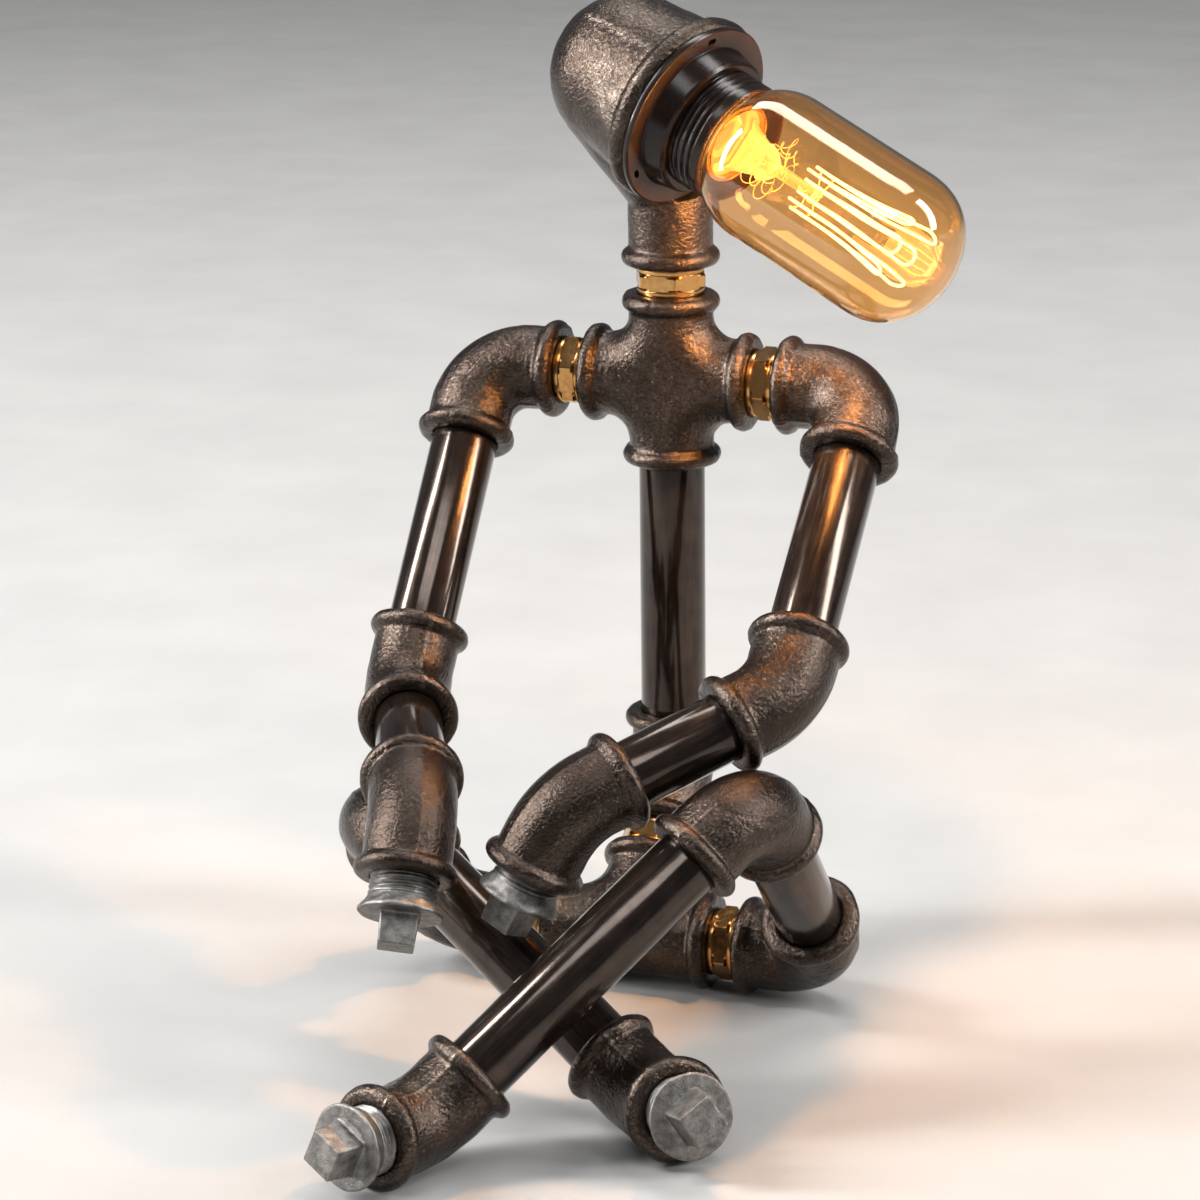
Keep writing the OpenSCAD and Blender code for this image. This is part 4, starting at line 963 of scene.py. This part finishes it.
def hairpin():
    """One filament loop: out along one strand, a round bend, and back along the next."""
    half, bend_len, sag, wave = math.radians(16.5), 3.2, 0.9, 0.018
    strand_points, bend_points = 26, 14
    out, back = [], []
    bend = LOOP_END - bend_len
    for t in np.linspace(0, 1, strand_points):
        r = LOOP_IN_R + (LOOP_OUT_R - LOOP_IN_R) * t - sag * math.sin(t * math.pi)
        z = LOOP_START + (bend - LOOP_START) * t
        sway = wave * math.sin(t * 9)
        out.append((r * math.cos(-half + sway), r * math.sin(-half + sway), z))
        back.append((r * math.cos(half + sway), r * math.sin(half + sway), z))
    a, b = np.array(out[-1]), np.array(back[-1])
    middle, reach = (a + b) / 2, (b - a) / 2
    arc = [tuple(middle - reach * math.cos(t) + np.array([0, 0, 1]) * np.linalg.norm(reach) * math.sin(t))
           for t in np.linspace(0, math.pi, bend_points)[1:-1]]
    return out + arc + back[::-1]


def hook():
    """An anchor wire out of the button with a small eye at the filament's inner end."""
    start, height, arch, aside, eye = 2.4, ROD_END + 2.1, 2.7, 1.2, 0.55
    points = []
    for t in np.linspace(0, 1, 8):
        reach = start + (LOOP_IN_R - start - 0.2) * t
        points.append((reach, aside * math.sin(t * 2.6), height + arch * t * (1 - t)))
    for t in np.linspace(0, 1.6 * math.pi, 12):
        points.append((LOOP_IN_R - 0.25 + eye * math.sin(t), 0.6 + eye * (1 - math.cos(t)) * 0.6, height))
    return points


def curl(near, swing, loop_r, half_turns):
    """A curly support wire that leaves the pinch, loops and comes back to the rod."""
    start, rise = STEM_PINCH - 1, 8
    points = []
    for t in np.linspace(0, 1, 60):
        angle = t * half_turns * math.pi
        reach = near + swing * math.sin(t * math.pi)
        points.append((reach + loop_r * math.cos(angle), 1.2 * loop_r * math.sin(angle), start + rise * t))
    return points


lampholder_shell()
shade_ring()
bulb_glass()
stem()
wires("filament_loops", [hairpin()], GLOW, ["filament"], copies=LOOPS, wire_mm=0.44, seed=4,
      spread=0.06)
wires("filament_anchors", [hook(), curl(near=3.2, swing=4.8, loop_r=1.25, half_turns=4.5)], WIRE,
      ["filament_supports"], copies=LOOPS, wire_mm=0.16, seed=9, spread=0.04)
wires("filament_curls", [curl(near=2.6, swing=7.4, loop_r=2.1, half_turns=3.2)], WIRE,
      ["filament_supports"], copies=5, wire_mm=0.13, seed=17, spread=0.1)

for node, material in CAD_MATERIAL.items():
    slots = nodes[node].material_slots
    if not slots:
        nodes[node].data.materials.append(material)
    for slot in slots:
        slot.material = material


# ---------------------------------------------------------------- room and light

def floor():
    half = 3.0
    mesh = bpy.data.meshes.new("floor")
    low = min(0.0, cad_box[0][2])
    mesh.from_pydata([(-half, -half, low), (half, -half, low), (half, half, low), (-half, half, low)], [],
                     [(0, 1, 2, 3)])
    s = Surface("pale_floor")
    tone = s.span(s.noise(60, 3, 0.5), 0.3, 0.7)
    colour = s.mix(tone, (0.34, 0.34, 0.34), (0.37, 0.37, 0.37))
    mesh.materials.append(s.finish(Base_Color=colour, Roughness=0.85, Specular_IOR_Level=0.08))
    obj = bpy.data.objects.new("floor", mesh)
    bpy.context.scene.collection.objects.link(obj)


def strip(name, toward, distance, long_mm, wide_mm, watts, colour, target, long_axis=(0, 0, 1)):
    """A softbox in the direction given from the target, its long side along the axis given."""
    toward = Vector(toward).normalized()
    data = bpy.data.lights.new(name, "AREA")
    data.shape = "RECTANGLE"
    data.size = wide_mm * MM
    data.size_y = long_mm * MM
    data.energy = watts
    data.color = colour
    obj = bpy.data.objects.new(name, data)
    axis = Vector(long_axis).normalized()
    side = axis.cross(toward).normalized()
    axis = toward.cross(side).normalized()
    rows = Matrix((side, axis, toward)).transposed().to_4x4()
    obj.matrix_world = Matrix.Translation((Vector(target) + toward * distance) * MM) @ rows
    bpy.context.scene.collection.objects.link(obj)
    return obj


def light_room():
    world = bpy.data.worlds.new("studio")
    world.use_nodes = True
    world.node_tree.nodes["Background"].inputs["Color"].default_value = (0.62, 0.65, 0.70, 1)
    world.node_tree.nodes["Background"].inputs["Strength"].default_value = 0.22
    bpy.context.scene.world = world
    middle = (0, 20, 150)
    glow_at = 88
    bulb_middle = BULB @ Vector((0, 0, glow_at))
    strip("left_softbox", toward=(-1.0, -0.35, 0.55), distance=2200, long_mm=2100, wide_mm=330, watts=122,
          colour=(1.0, 0.98, 0.95), target=middle)
    strip("right_softbox", toward=(1.0, 0.15, 0.55), distance=2300, long_mm=2000, wide_mm=380, watts=62,
          colour=(1.0, 0.97, 0.93), target=middle)
    strip("front_softbox", toward=(0.15, -0.6, 0.9), distance=2300, long_mm=1500, wide_mm=600, watts=16,
          colour=(1.0, 0.99, 0.97), target=middle, long_axis=(1, 0, 0))
    strip("top_softbox", toward=(-0.04, 0.34, 0.94), distance=2000, long_mm=2000, wide_mm=560, watts=36,
          colour=(1.0, 0.99, 0.97), target=bulb_middle, long_axis=(0.92, -0.38, 0))
    warm = bpy.data.lights.new("bulb_glow", "POINT")
    warm.energy = 2.7
    warm.color = (1.0, 0.46, 0.13)
    warm.shadow_soft_size = 0.009
    glow = bpy.data.objects.new("bulb_glow", warm)
    glow.location = bulb_middle * MM
    glow.visible_camera = False
    glow.visible_transmission = False
    bpy.context.scene.collection.objects.link(glow)


floor()
light_room()
bpy.context.scene.view_settings.view_transform = "Standard"
